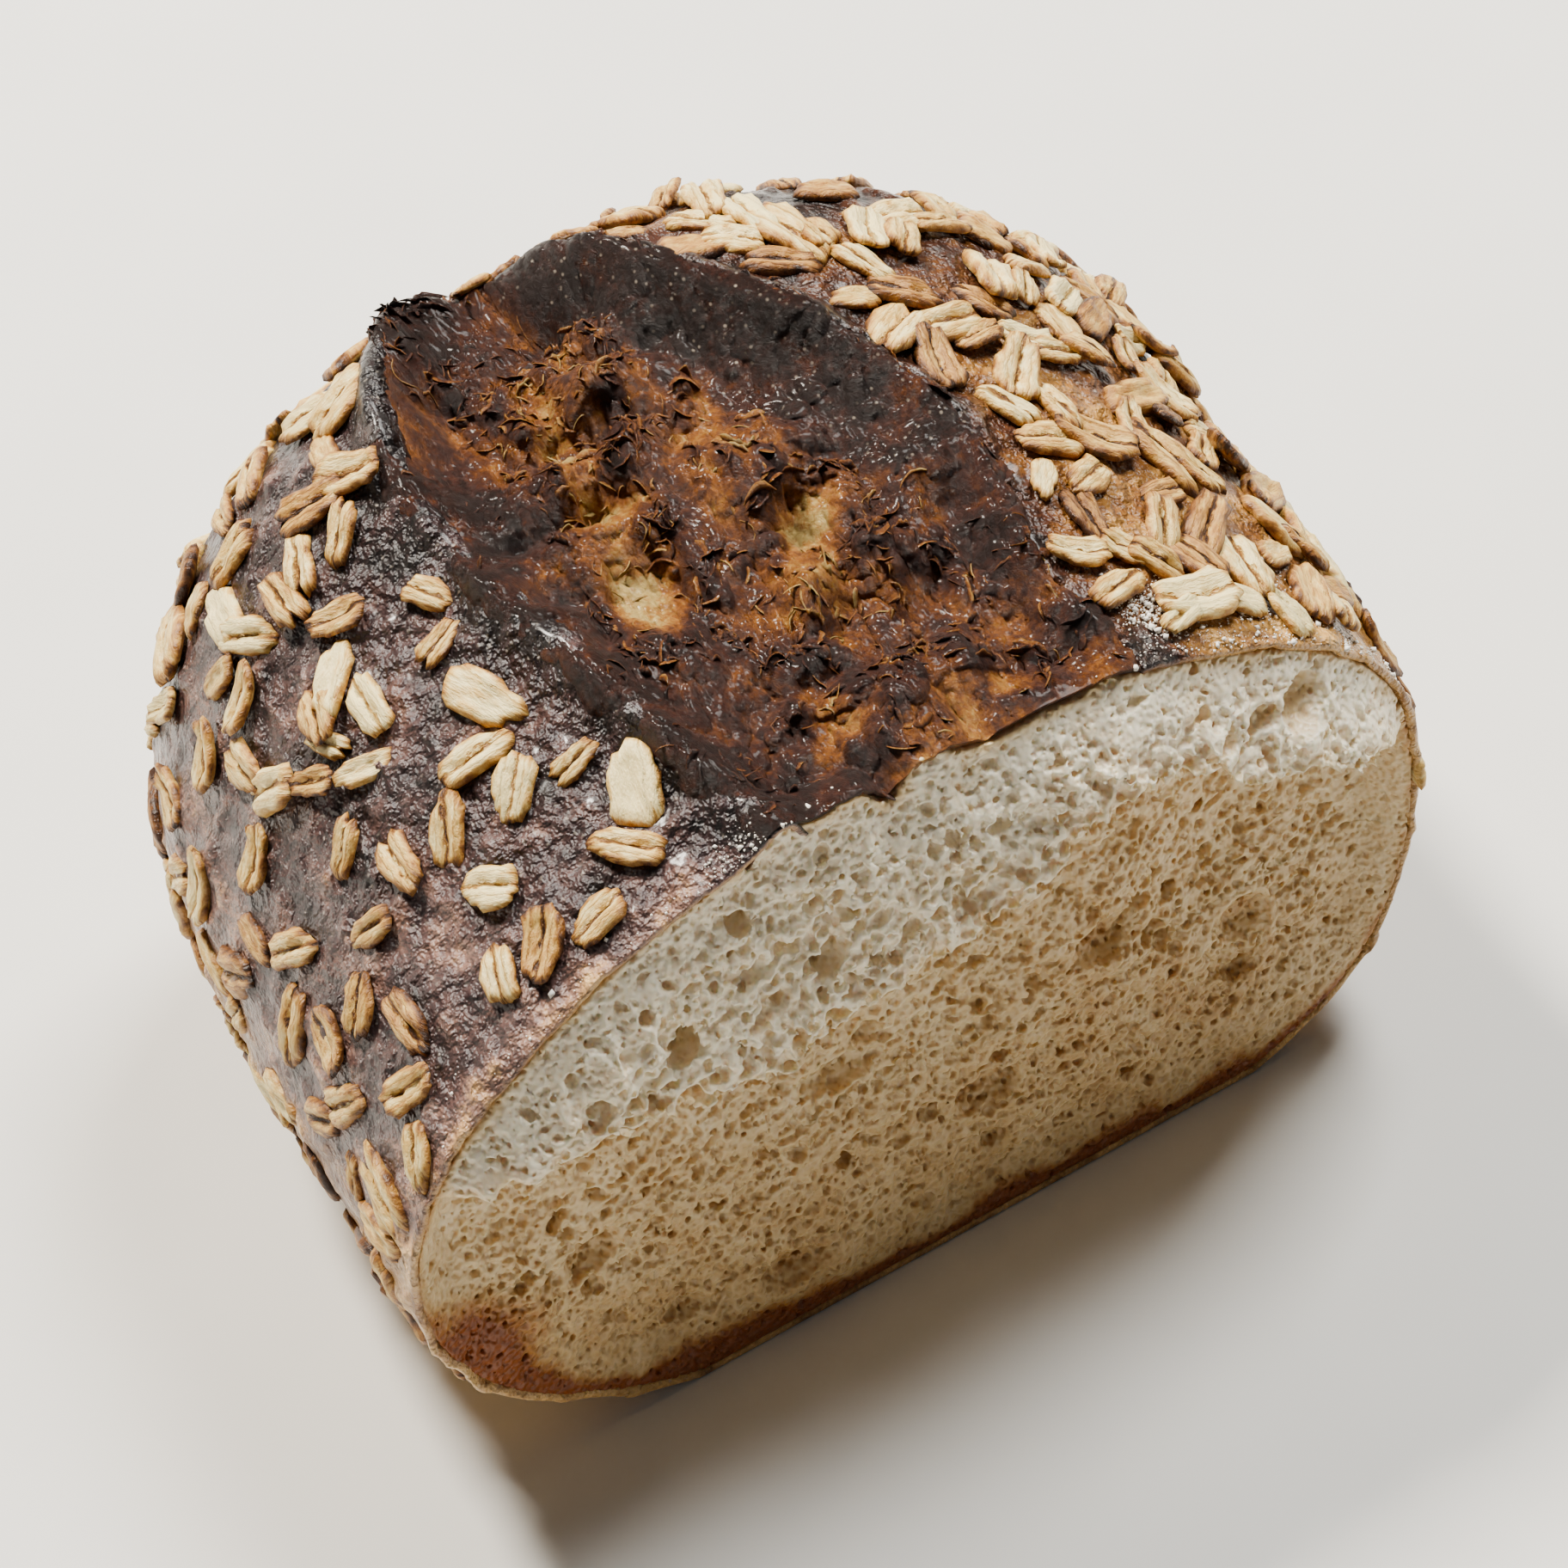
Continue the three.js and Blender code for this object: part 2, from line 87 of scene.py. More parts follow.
def mix(a: Array, b: Array, share: Array) -> Array:
    """Go from a to b by share."""
    return a + (b - a) * share


def fade(share: Array) -> Array:
    """Ease a share between 0 and 1 at both ends."""
    return share * share * (3 - 2 * share)


def ramp(values: Array, start: float, stop: float) -> Array:
    """Rise smoothly from 0 at start to 1 at stop."""
    return fade(np.clip((values - start) / (stop - start), 0.0, 1.0))


def eased_under(values: Array, limit: float) -> Array:
    """Ease values off over the last millimetre, so that none passes the limit."""
    past = np.maximum(0.0, values - limit + 1)
    return values + np.tanh(past) - past


def hump(values: Array) -> Array:
    """Give the bell curve's height, 1 in its middle."""
    return np.exp(-values * values)


def signed_power(values: Array, power: Array) -> Array:
    """Raise the size of values to a power and keep their sign."""
    return np.sign(values) * np.abs(values) ** power


def value_noise(x: Array, y: Array, z: Array) -> Array:
    """Give smooth random values between -1 and 1, the same ones that shape the solid.

    Args:
        x, y, z: places, in steps of the noise.
    Returns:
        One value for each place.
    """
    x, y, z = np.broadcast_arrays(np.asarray(x, float), y, z)
    i, j, k = np.floor(x), np.floor(y), np.floor(z)
    u, v, w = fade(x - i), fade(y - j), fade(z - k)

    def corner(a: int, b: int, c: int) -> Array:
        """Give the random value at a corner of each place's cell."""
        return frac(np.sin((i + a) * 127.1 + (j + b) * 311.7 + (k + c) * 74.7) * 43758.5453)

    def layer(c: int) -> Array:
        """Blend the four corners of a cell's lower or upper side."""
        near = mix(corner(0, 0, c), corner(1, 0, c), u)
        return mix(near, mix(corner(0, 1, c), corner(1, 1, c), u), v)

    return 2 * mix(layer(0), layer(1), w) - 1


def layered_noise(points: Array, size: float, layers: int, seed: float = 0.0) -> Array:
    """Add up noise of ever finer grain.

    Args:
        points: places in mm, (..., 3).
        size: grain of the coarsest layer, in mm.
        layers: number of layers, each twice as fine and half as strong.
        seed: moves the pattern.
    Returns:
        Values of roughly -1 to 1.
    """
    total = np.zeros(points.shape[:-1])
    strength = 0.0
    for n in range(layers):
        scale = 2.03**n / size
        turned = points @ TURNS[n % len(TURNS)]
        shift = seed + 17.3 * n
        share = 0.5**n
        total += share * value_noise(
            turned[..., 0] * scale + shift, turned[..., 1] * scale - shift, turned[..., 2] * scale
        )
        strength += share
    return total / strength


TURNS = [np.array(Matrix.Rotation(0.7 * n + 0.3, 3, Vector((1, 0.4 + n, 0.7))))[:3, :3] for n in range(5)]


def smooth_curve(pairs: Pairs, x: Array) -> Array:
    """Give the value at x of the smooth curve through [x, value] pairs.

    Args:
        pairs: the curve's points, in order of x.
        x: places along it, held to its ends.
    Returns:
        One value for each place.
    """
    knots = np.array(pairs, float)
    last = len(knots) - 1
    at = np.clip(np.asarray(x, float), knots[0, 0], knots[last, 0])
    n = np.clip(np.searchsorted(knots[:, 0], at, side="left") - 1, 0, last - 1)
    before = np.maximum(np.arange(last + 1) - 1, 0)
    after = np.minimum(np.arange(last + 1) + 1, last)
    slope = (knots[after, 1] - knots[before, 1]) / (knots[after, 0] - knots[before, 0])
    span = knots[n + 1, 0] - knots[n, 0]
    s = (at - knots[n, 0]) / span
    bend = span * s * (1 - s) * (slope[n] * (1 - s) - slope[n + 1] * s)
    return mix(knots[n, 1], knots[n + 1, 1], fade(s)) + bend


def unit(vectors: Array) -> Array:
    """Scale vectors to length 1, leaving those of no length at 0."""
    return vectors / np.maximum(np.linalg.norm(vectors, axis=-1, keepdims=True), 1e-12)


@dataclass(frozen=True)
class LoafForm:
    """The form of the loaf, in mm, with the solid's own sizes and formulas."""

    width: float = 130.0
    length: float = 89.0
    height_at_cut: float = 80.0
    far_rise: float = 18.0
    waist: float = 37.0
    base_dip: float = 5.0
    crown_round: float = 2.2
    end_round: float = 5.0
    under_round_left: float = 2.1
    under_round_right: float = 2.8
    cut_lean: float = 0.035
    cut_turn: float = -0.092
    cut_pivot_z: float = 35.0
    ledge: Pairs = (
        (-60, 53), (-45, 57.5), (-25, 54.5), (-8, 56.5), (9, 57.5),
        (16, 65), (31, 64.5), (39, 57), (46, 57), (60, 48),
    )
    ledge_out: float = 6.5
    ledge_step: float = 2.5
    under_ledge: float = 1.2
    ledge_band: float = 22.0
    left_edge: Pairs = ((0, -17), (25, -24.5), (55, -31), (77, -25), (89, -12))
    right_edge: Pairs = ((0, 28), (16, 24), (35, 25), (52, 17), (72, 3), (89, -8))
    band_width: Pairs = ((0, 2), (26, 2), (38, 11.5), (50, 12.5), (66, 8), (89, 3))
    bloom_depth: Pairs = ((0, 2.2), (30, 3.4), (60, 6.5), (76, 8), (89, 3))
    lip_height: float = 2.2
    lip_width: float = 3.2
    crest_height: float = 3.0
    crest_width: float = 3.0
    crest_starts: float = 26.0
    crest_full: float = 38.0
    bloom_ends: float = 84.0
    wall: float = 6.0
    crag_height: float = 4.4
    crag_size: float = 8.5
    lump_height: float = 1.0
    lump_size: float = 21.0
    walk_steps: int = 4000
    below_waist: float = 1.0
    crown_steps: int = 720
    foremost: float = 54.0
    topmost: float = 92.9

    @property
    def to_cut(self) -> float:
        """Distance from the origin to the cut, along X."""
        return self.length / 2

    @cached_property
    def walk(self) -> tuple[Array, Array, Array]:
        """The walk from the cut to the far tip: length walked, share back and share of section."""
        n = np.arange(self.walk_steps + 1) / self.walk_steps
        angle = (math.pi / 2) * n ** (self.end_round / 2)
        back = np.sin(angle) ** (2 / self.end_round)
        shrink = np.maximum(0.0, np.cos(angle)) ** (2 / self.end_round)
        shrink[-1] = 0.0
        steps = np.hypot(np.diff(back) * self.length, np.diff(shrink) * self.width / 2)
        return np.concatenate([[0.0], np.cumsum(steps)]), back, shrink

    def station(self, arc: Array) -> tuple[Array, Array]:
        """Give how far back a share of the walk is, and the share of the section left there."""
        length, back, shrink = self.walk
        wanted = np.clip(arc, 0.0, 1.0) * length[-1]
        return np.interp(wanted, length, back), np.interp(wanted, length, shrink)

    def arc_of(self, back_mm: Array) -> Array:
        """Give the share of the walk at a distance back from the cut."""
        length, back, _ = self.walk
        return np.interp(np.asarray(back_mm) / self.length, back, length / length[-1])

    def cut_forward(self, y: Array, z: Array) -> Array:
        """Give how far forward the knife's plane stands."""
        return self.cut_lean * (self.cut_pivot_z - z) + self.cut_turn * y

    def smooth(self, back: Array, shrink: Array, turn: Array) -> Array:
        """Give points on the smooth loaf, before its lumps and its bloom.

        Args:
            back: 0 at the cut, 1 at the far end.
            shrink: share of the full section left there.
            turn: the way round the section, from the right side over the crown, in radians.
        Returns:
            Points in mm, (..., 3).
        """
        c, s = np.cos(turn), np.sin(turn)
        over = s >= 0
        under = np.where(c < 0, self.under_round_left, self.under_round_right)
        power = 2 / np.where(over, self.crown_round, under)
        crown = self.height_at_cut + self.far_rise * back - self.waist
        reach = np.where(over, crown, self.waist + self.base_dip)
        y = self.width / 2 * shrink * signed_power(c, power)
        z = np.maximum(0.0, self.waist + reach * shrink * signed_power(s, power))
        x = self.to_cut - back * self.length + (1 - back) * self.cut_forward(y, z)
        return np.stack(np.broadcast_arrays(x, y, z), axis=-1)

    def inside_bloom(self, back_mm: Array, y: Array) -> Array:
        """Give 1 on the floor of the bloom and 0 outside its edges.

        Args:
            back_mm: distance back from the cut.
            y: place across.
        Returns:
            One share for each place.
        """
        left, right = smooth_curve(self.left_edge, back_mm), smooth_curve(self.right_edge, back_mm)
        slope = np.maximum(self.wall, smooth_curve(self.band_width, back_mm) + self.wall / 2)
        rise = np.clip((y - right + slope) / (slope - 1), 0.0, 1.0)
        return ramp(y - left, -1.0, self.wall) * (1 - fade(rise))

    def bloom_relief(self, back_mm: Array, y: Array) -> Array:
        """Give how far the bloom, its lip and its ear move the skin outwards.

        Args:
            back_mm: distance back from the cut.
            y: place across.
        Returns:
            One distance in mm for each place.
        """
        left, right = smooth_curve(self.left_edge, back_mm), smooth_curve(self.right_edge, back_mm)
        swell = 1 - 0.45 * hump((y - (left + right) / 2) / (0.3 * (right - left)))
        crags = np.abs(value_noise(back_mm / self.crag_size, y / self.crag_size, 3)) - 0.35
        lip = self.lip_height * hump((y - left) / self.lip_width)
        lip = lip * (1 + 0.6 * value_noise(back_mm / 6, 0, 9))
        ear = ramp(back_mm, self.crest_starts, self.crest_full)
        ear = ear * (1 + 0.35 * value_noise(back_mm / 7, 5, 0))
        crest = self.crest_height * hump((y - right + 1) / self.crest_width) * ear
        floor = self.crag_height * crags - smooth_curve(self.bloom_depth, back_mm) * swell
        total = self.inside_bloom(back_mm, y) * floor + lip + crest
        return total * self.bloom_left(back_mm)

    def bloom_left(self, back_mm: Array) -> Array:
        """Give 1 along the bloom, falling to 0 past its far end."""
        return 1 - ramp(back_mm, self.bloom_ends - 10, self.bloom_ends + 3)

    def skin(self, arc: Array, turn: Array) -> tuple[Array, Array]:
        """Give points on the real skin and the way it faces there.

        Args:
            arc: share of the walk from the cut to the far tip.
            turn: the way round the section, in radians.
        Returns:
            Points in mm and unit vectors, each (..., 3).
        """
        arc, turn = np.broadcast_arrays(np.asarray(arc, float), np.asarray(turn, float))
        back, shrink = self.station(arc)
        step = 0.02
        p = self.smooth(back, shrink, turn)
        across = self.smooth(back, shrink, turn + step) - self.smooth(back, shrink, turn - step)
        lengthways = self.smooth(*self.station(arc - step), turn)
        lengthways = lengthways - self.smooth(*self.station(arc + step), turn)
        out = unit(np.cross(across, lengthways))
        size = self.lump_size
        lumps = value_noise(p[..., 0] / size, p[..., 1] / size, p[..., 2] / size)
        lumps = self.lump_height * lumps * ramp(p[..., 2], 0, 15)
        bloom = self.bloom_relief(back * self.length, p[..., 1])
        bloom = bloom * ramp(p[..., 2], self.waist, self.waist + 15)
        moved = np.where(p[..., 2] > 0, lumps + bloom, 0.0)
        p = p + out * moved[..., None]
        p[..., 2] = np.maximum(0.0, p[..., 2])
        return p, out

    def turn_reaching(self, y: Array, half_width: Array) -> Array:
        """Give the turn over the crown at which a section reaches across to y."""
        share = np.minimum(1.0, np.abs(y) / half_width)
        turn = np.arccos(share ** (self.crown_round / 2))
        return np.where(np.asarray(y) < 0, math.pi - turn, turn)

    @cached_property
    def crown_walk(self) -> tuple[Array, Array]:
        """The walk over the crown, from below the right waist to below the left: length and turn."""
        turn = np.linspace(-self.below_waist, math.pi + self.below_waist, self.crown_steps + 1)
        line = self.smooth(np.array(0.0), np.array(1.0), turn)
        steps = np.linalg.norm(np.diff(line, axis=0), axis=1)
        return np.concatenate([[0.0], np.cumsum(steps)]), turn

    def turn_at_share(self, share: Array) -> Array:
        """Give the turn at a share of the walk over the crown."""
        length, turn = self.crown_walk
        return np.interp(share * length[-1], length, turn)

    def crumb_relief(self, y: Array, z: Array, inward: Array, lift: Array = 0.0) -> Array:
        """Give how far the torn crumb stands out from the knife's plane.

        Args:
            y, z: place on the cut face.
            inward: distance from the crust.
            lift: moves the ledge up or down, for its ragged edge.
        Returns:
            Distances along X, in mm.
        """
        over = z - smooth_curve(self.ledge, y) - lift
        band = np.maximum(0.0, 1 - over / self.ledge_band) * self.ledge_out
        low = self.under_ledge * ramp(z, 3, 20)
        step = mix(self.ledge_out, -low, ramp(-over, 0, self.ledge_step))
        return np.where(over > 0, band, step) * ramp(inward, 0, 8)


@dataclass(frozen=True)
class CutRim:
    """The crust's outline round the cut face, and distances from it."""

    form: LoafForm
    points: int = 720
    cell: float = 1.0

    @cached_property
    def outline(self) -> Array:
        """The rim's points across and up, in order."""
        turn = np.linspace(0, 2 * math.pi, self.points, endpoint=False)
        return self.form.skin(np.zeros(self.points), turn)[0][:, 1:]

    @cached_property
    def table(self) -> Array:
        """Distances from the rim on a coarse grid, positive inside."""
        y = np.arange(-70, 70.5, self.cell)
        z = np.arange(-4, 90.5, self.cell)
        grid = np.stack(np.meshgrid(y, z, indexing="ij"), axis=-1).reshape(-1, 2)
        start = self.outline
        stop = np.roll(start, -1, axis=0)
        side = stop - start
        span = np.maximum((side**2).sum(1), 1e-9)
        off = grid[:, None] - start[None]
        share = np.clip((off * side).sum(-1) / span, 0, 1)
        near = np.sqrt(((off - share[..., None] * side) ** 2).sum(-1).min(1))
        crosses = (start[:, 1] > grid[:, 1:]) != (stop[:, 1] > grid[:, 1:])
        slope = side[:, 0] / np.where(side[:, 1] == 0, 1e-9, side[:, 1])
        at = start[:, 0] + (grid[:, 1:] - start[:, 1]) * slope
        inside = (crosses & (grid[:, :1] < at)).sum(1) % 2 == 1
        return np.where(inside, near, -near).reshape(len(y), len(z))

    def distance(self, y: Array, z: Array) -> Array:
        """Give distances from the rim, positive inside.

        Args:
            y, z: places across and up.
        Returns:
            One distance in mm for each place.
        """
        u = np.clip((y + 70) / self.cell, 0, self.table.shape[0] - 1.001)
        v = np.clip((z + 4) / self.cell, 0, self.table.shape[1] - 1.001)
        i, j = u.astype(int), v.astype(int)
        s, t = u - i, v - j
        low = mix(self.table[i, j], self.table[i + 1, j], s)
        return mix(low, mix(self.table[i, j + 1], self.table[i + 1, j + 1], s), t)


def linear(code: str) -> tuple[float, float, float, float]:
    """Turn an sRGB hex colour to linear light.

    Args:
        code: a colour such as "#C8A878".
    Returns:
        Red, green, blue and alpha.
    """
    shares = [int(code[n : n + 2], 16) / 255 for n in (1, 3, 5)]
    light = [s / 12.92 if s <= 0.04045 else ((s + 0.055) / 1.055) ** 2.4 for s in shares]
    return (*light, 1.0)


def add(tree: bpy.types.NodeTree, kind: str, sockets: dict | None = None, **settings) -> bpy.types.Node:
    """Add a node with its settings, and give its inputs values or links.

    Args:
        tree: the node tree.
        kind: the node's type name.
        sockets: input name or number, to a value or to another node's output.
        settings: the node's own options.
    Returns:
        The new node.
    """
    node = tree.nodes.new(kind)
    for name, value in settings.items():
        setattr(node, name, value)
    feed(tree, node, sockets or {})
    return node


def feed(tree: bpy.types.NodeTree, node: bpy.types.Node, sockets: dict) -> None:
    """Give a node's inputs values, or link them where the value is another node's output.

    Args:
        tree: the node tree.
        node: the node that is fed.
        sockets: input name or number, to a value or an output.
    """
    for key, value in sockets.items():
        if isinstance(value, bpy.types.NodeSocket):
            tree.links.new(value, node.inputs[key])
        else:
            node.inputs[key].default_value = value


class Painter:
    """A new material's node tree, with the few kinds of node that the finishes are made of."""

    def __init__(self, name: str) -> None:
        """Start a material with its shader, its output and places on the piece.

        Args:
            name: the material's name.
        """
        self.material = bpy.data.materials.new(name)
        self.material.use_nodes = True
        self.tree = self.material.node_tree
        self.tree.nodes.clear()
        self.shader = add(self.tree, "ShaderNodeBsdfPrincipled")
        add(self.tree, "ShaderNodeOutputMaterial", {"Surface": self.shader.outputs["BSDF"]})
        self.place = add(self.tree, "ShaderNodeTexCoord").outputs["Object"]

    def mark(self, name: str, output: str = "Fac") -> Socket:
        """Read a value, or a vector, that the mesh carries at each point."""
        return add(self.tree, "ShaderNodeAttribute", attribute_name=name).outputs[output]

    def noise(self, size_mm: float, detail: float, rough: float = 0.5, twist: float = 0.0) -> bpy.types.Node:
        """Add cloudy noise whose grain is given in mm."""
        sockets = {"Vector": self.place, "Scale": PER_METRE / size_mm, "Detail": detail}
        sockets |= {"Roughness": rough, "Distortion": twist}
        return add(self.tree, "ShaderNodeTexNoise", sockets)

    def cells(self, size_mm: float, place: Socket | None = None, feature: str = "F1") -> bpy.types.Node:
        """Add a pattern of cells whose size is given in mm."""
        sockets = {"Vector": place or self.place, "Scale": PER_METRE / size_mm}
        return add(self.tree, "ShaderNodeTexVoronoi", sockets, feature=feature)

    def spread(self, value: Socket, start: float, stop: float, low: float, high: float) -> Socket:
        """Stretch a value's range from start to stop out to low to high, held at both ends."""
        sockets = {"Value": value, 1: start, 2: stop, 3: low, 4: high}
        return add(self.tree, "ShaderNodeMapRange", sockets).outputs[0]

    def sum_up(self, operation: str, *values: Socket | float, held: bool = False) -> Socket:
        """Join values by one operation, from the first on.

        Args:
            operation: the node's name for it, such as ADD.
            values: the values in order.
            held: whether the result is held between 0 and 1.
        Returns:
            The result.
        """
        total = values[0]
        for n, value in enumerate(values[1:] or (0.0,), start=2):
            last = held and n == len(values)
            sockets = {0: total, 1: value}
            total = add(self.tree, "ShaderNodeMath", sockets, operation=operation, use_clamp=last).outputs[0]
        return total

    def move(self, operation: str, vector: Socket, sockets: dict) -> Socket:
        """Change a vector by one operation."""
        return add(self.tree, "ShaderNodeVectorMath", {0: vector, **sockets}, operation=operation).outputs[0]

    def tone(self, value: Socket, stops: Stops) -> Socket:
        """Turn a value to a colour by a ramp.

        Args:
            value: a socket that gives 0 to 1.
            stops: the ramp's places and hex colours.
        Returns:
            The colour's socket.
        """
        node = add(self.tree, "ShaderNodeValToRGB", {"Fac": value})
        elements = node.color_ramp.elements
        while len(elements) < len(stops):
            elements.new(1.0)
        for element, (place, code) in zip(elements, stops):
            element.position = place
            element.color = linear(code)
        return node.outputs["Color"]

    def blend(self, share: Socket, under: Socket, over: Socket | tuple) -> Socket:
        """Lay one colour over another by a share."""
        sockets = {"Factor": share, 6: under, 7: over}
        return add(self.tree, "ShaderNodeMix", sockets, data_type="RGBA").outputs[2]

    def flecks(self, cells: bpy.types.Node, strength: float, common_at: float, most: float) -> Socket:
        """Give small round flecks in some of the cells.

        Args:
            cells: a cell pattern.
            strength: how strong a fleck is in its middle.
            common_at: the lot at which a cell's fleck has its full strength, from 0.6 up.
            most: the strength of the strongest cell's fleck.
        Returns:
            A share for each place.
        """
        near = self.spread(cells.outputs["Distance"], 0.3, 0.1, 0.0, strength)
        lot = add(self.tree, "ShaderNodeSeparateColor", {"Color": cells.outputs["Color"]}).outputs[0]
        return self.sum_up("MULTIPLY", near, self.spread(lot, 0.6, common_at, 0.0, most))

    def bump(self, height: Socket, strength: float, rise_mm: float, over: Socket | None = None) -> Socket:
        """Give the way a surface faces that rises by a height.

        Args:
            height: a socket that gives 0 to 1.
            strength: the share of the rise that shows.
            rise_mm: how far it rises from 0 to 1.
            over: the way that the surface below it faces.
        Returns:
            The socket of the way it faces.
        """
        sockets = {"Height": height, "Strength": strength, "Distance": rise_mm * MM}
        if over is not None:
            sockets["Normal"] = over
        return add(self.tree, "ShaderNodeBump", sockets).outputs["Normal"]

    def finish(self, sockets: dict) -> bpy.types.Material:
        """Feed the shader and give the finished material."""
        feed(self.tree, self.shader, sockets)
        return self.material


@dataclass(frozen=True)
class BakedCrustFinish:
    """Lean bread crust, baked dark: starch glazed by steam, matt where it blistered."""

    name: str = "baked_sourdough_crust"
    tones: Stops = (
        (0.0, "#E0B87C"), (0.22, "#BE9263"), (0.42, "#89685A"),
        (0.60, "#5A433F"), (0.78, "#392A2A"), (1.0, "#181212"),
    )
    golden_tones: Stops = (
        (0.0, "#D2A45E"), (0.25, "#A97A3A"), (0.48, "#74491F"), (0.72, "#432517"), (1.0, "#1A100D"),
    )
    flour: str = "#D9CDBE"
    mottle_mm: float = 6.5
    fine_mm: float = 1.1
    lump_mm: float = 2.6
    lump_rise_mm: float = 3.0
    grain_mm: float = 0.9
    grain_rise_mm: float = 0.25
    fleck_mm: float = 0.9
    fleck_stray: float = 0.0012

    def material(self) -> bpy.types.Material:
        """Build the crust: tone from how hard each place was baked, mottled, speckled with flour and with
        pale flecks that also serve as painted small highlights.
        """
        paint = Painter(self.name)
        mottle = paint.noise(self.mottle_mm, 6.0, 0.66)
        fine = paint.noise(self.fine_mm, 5.0, 0.7)
        uneven = paint.spread(mottle.outputs["Fac"], 0.3, 0.7, -0.3, 0.3)
        grainy = paint.spread(fine.outputs["Fac"], 0.3, 0.7, 0.1, -0.1)
        baked = paint.sum_up("ADD", paint.mark("bake"), uneven, grainy, held=True)
        dark, golden = paint.tone(baked, self.tones), paint.tone(baked, self.golden_tones)
        colour = paint.blend(paint.mark("gold"), dark, golden)
        # Pale flecks: partly flour dust, partly painted small highlights standing in for glints on the glossy
        # crust.
        drift = paint.move("SCALE", fine.outputs["Color"], {3: self.fleck_stray})
        strayed = paint.move("ADD", paint.place, {1: drift})
        flecks = paint.flecks(paint.cells(self.fleck_mm, strayed), 0.8, 1.0, 0.5)
        lumps = paint.bump(paint.noise(self.lump_mm, 3.0, 0.55).outputs["Fac"], 1.0, self.lump_rise_mm)
        grain = paint.noise(self.grain_mm, 5.0, 0.7).outputs["Fac"]
        return paint.finish(
            {
                "Base Color": paint.blend(flecks, colour, linear(self.flour)),
                "Roughness": paint.spread(mottle.outputs["Fac"], 0.35, 0.7, 0.2, 0.44),
                "Normal": paint.bump(grain, 0.7, self.grain_rise_mm, lumps),
                "IOR": 1.47,
                "Coat Weight": 0.2,
                "Coat Roughness": 0.16,
            }
        )


@dataclass(frozen=True)
class TornBloomFinish:
    """Dough torn open in the oven: dark on its ridges, orange and gold in its hollows."""

    name: str = "torn_bloom_crust"
    tones: Stops = (
        (0.0, "#B99D5C"), (0.18, "#A37233"), (0.36, "#86501F"),
        (0.55, "#5B3319"), (0.75, "#3C221B"), (1.0, "#20130F"),
    )
    flour: str = "#B9AA98"
    mottle_mm: float = 4.5
    fine_mm: float = 0.8
    fleck_mm: float = 0.85
    strand_mm: float = 1.3
    strand_rise_mm: float = 0.7

    def material(self) -> bpy.types.Material:
        """Build the bloom: tone from how far each place stood out to the heat, with torn strands."""
        paint = Painter(self.name)
        mottle = paint.noise(self.mottle_mm, 6.0, 0.65)
        fine = paint.noise(self.fine_mm, 4.0, 0.75, 0.6)
        uneven = paint.spread(mottle.outputs["Fac"], 0.3, 0.7, -0.22, 0.22)
        grainy = paint.spread(fine.outputs["Fac"], 0.3, 0.7, -0.2, 0.2)
        baked = paint.sum_up("ADD", paint.mark("bake"), uneven, grainy, held=True)
        flecks = paint.flecks(paint.cells(self.fleck_mm), 0.9, 0.95, 0.8)
        flecks = paint.sum_up("MULTIPLY", flecks, paint.mark("scorched"))
        strands = paint.noise(self.strand_mm, 8.0, 0.78, 1.4).outputs["Fac"]
        return paint.finish(
            {
                "Base Color": paint.blend(flecks, paint.tone(baked, self.tones), linear(self.flour)),
                "Roughness": paint.spread(mottle.outputs["Fac"], 0.35, 0.7, 0.22, 0.5),
                "Normal": paint.bump(strands, 1.0, self.strand_rise_mm),
                "IOR": 1.42,
                "Specular IOR Level": 0.32,
                "Coat Weight": 0.1,
                "Coat Roughness": 0.15,
            }
        )


@dataclass(frozen=True)
class CrumbFinish:
    """Open wheat crumb: gelled starch films, moist and a little see-through, cream in thin walls."""

    name: str = "open_wheat_crumb"
    tones: Stops = (
        (0.0, "#FBEDD2"), (0.25, "#E8CFA2"), (0.5, "#D0AE78"), (0.78, "#AC7535"), (1.0, "#86440F"),
    )
    cloud_mm: float = 6.0
    cell_mm: float = 0.7
    cell_rise_mm: float = 0.5

    def material(self) -> bpy.types.Material:
        """Build the crumb: cream walls, browned towards the crust, with painted shade, warmer and darker, in
        the holes and below the ledge.
        """
        paint = Painter(self.name)
        cells = paint.cells(self.cell_mm, feature="SMOOTH_F1").outputs["Distance"]
        uneven = paint.spread(paint.noise(self.cloud_mm, 5.0, 0.6).outputs["Fac"], 0.3, 0.7, -0.08, 0.1)
        # Painted shade: the pits of the fine cells are toned warmer and darker than their walls.
        painted_pit_shade = paint.spread(cells, 0.1, 0.6, 0.07, -0.07)
        tone_with_painted_shade = paint.sum_up("ADD", paint.mark("browning_and_painted_shade"), uneven, painted_pit_shade, held=True)
        return paint.finish(
            {
                "Base Color": paint.tone(tone_with_painted_shade, self.tones),
                "Normal": paint.bump(cells, 0.9, self.cell_rise_mm),
                "Roughness": 0.36,
                "IOR": 1.45,
                "Subsurface Weight": 0.35,
                "Subsurface Radius": (1.0, 0.72, 0.42),
                "Subsurface Scale": 0.0016,
            }
        )


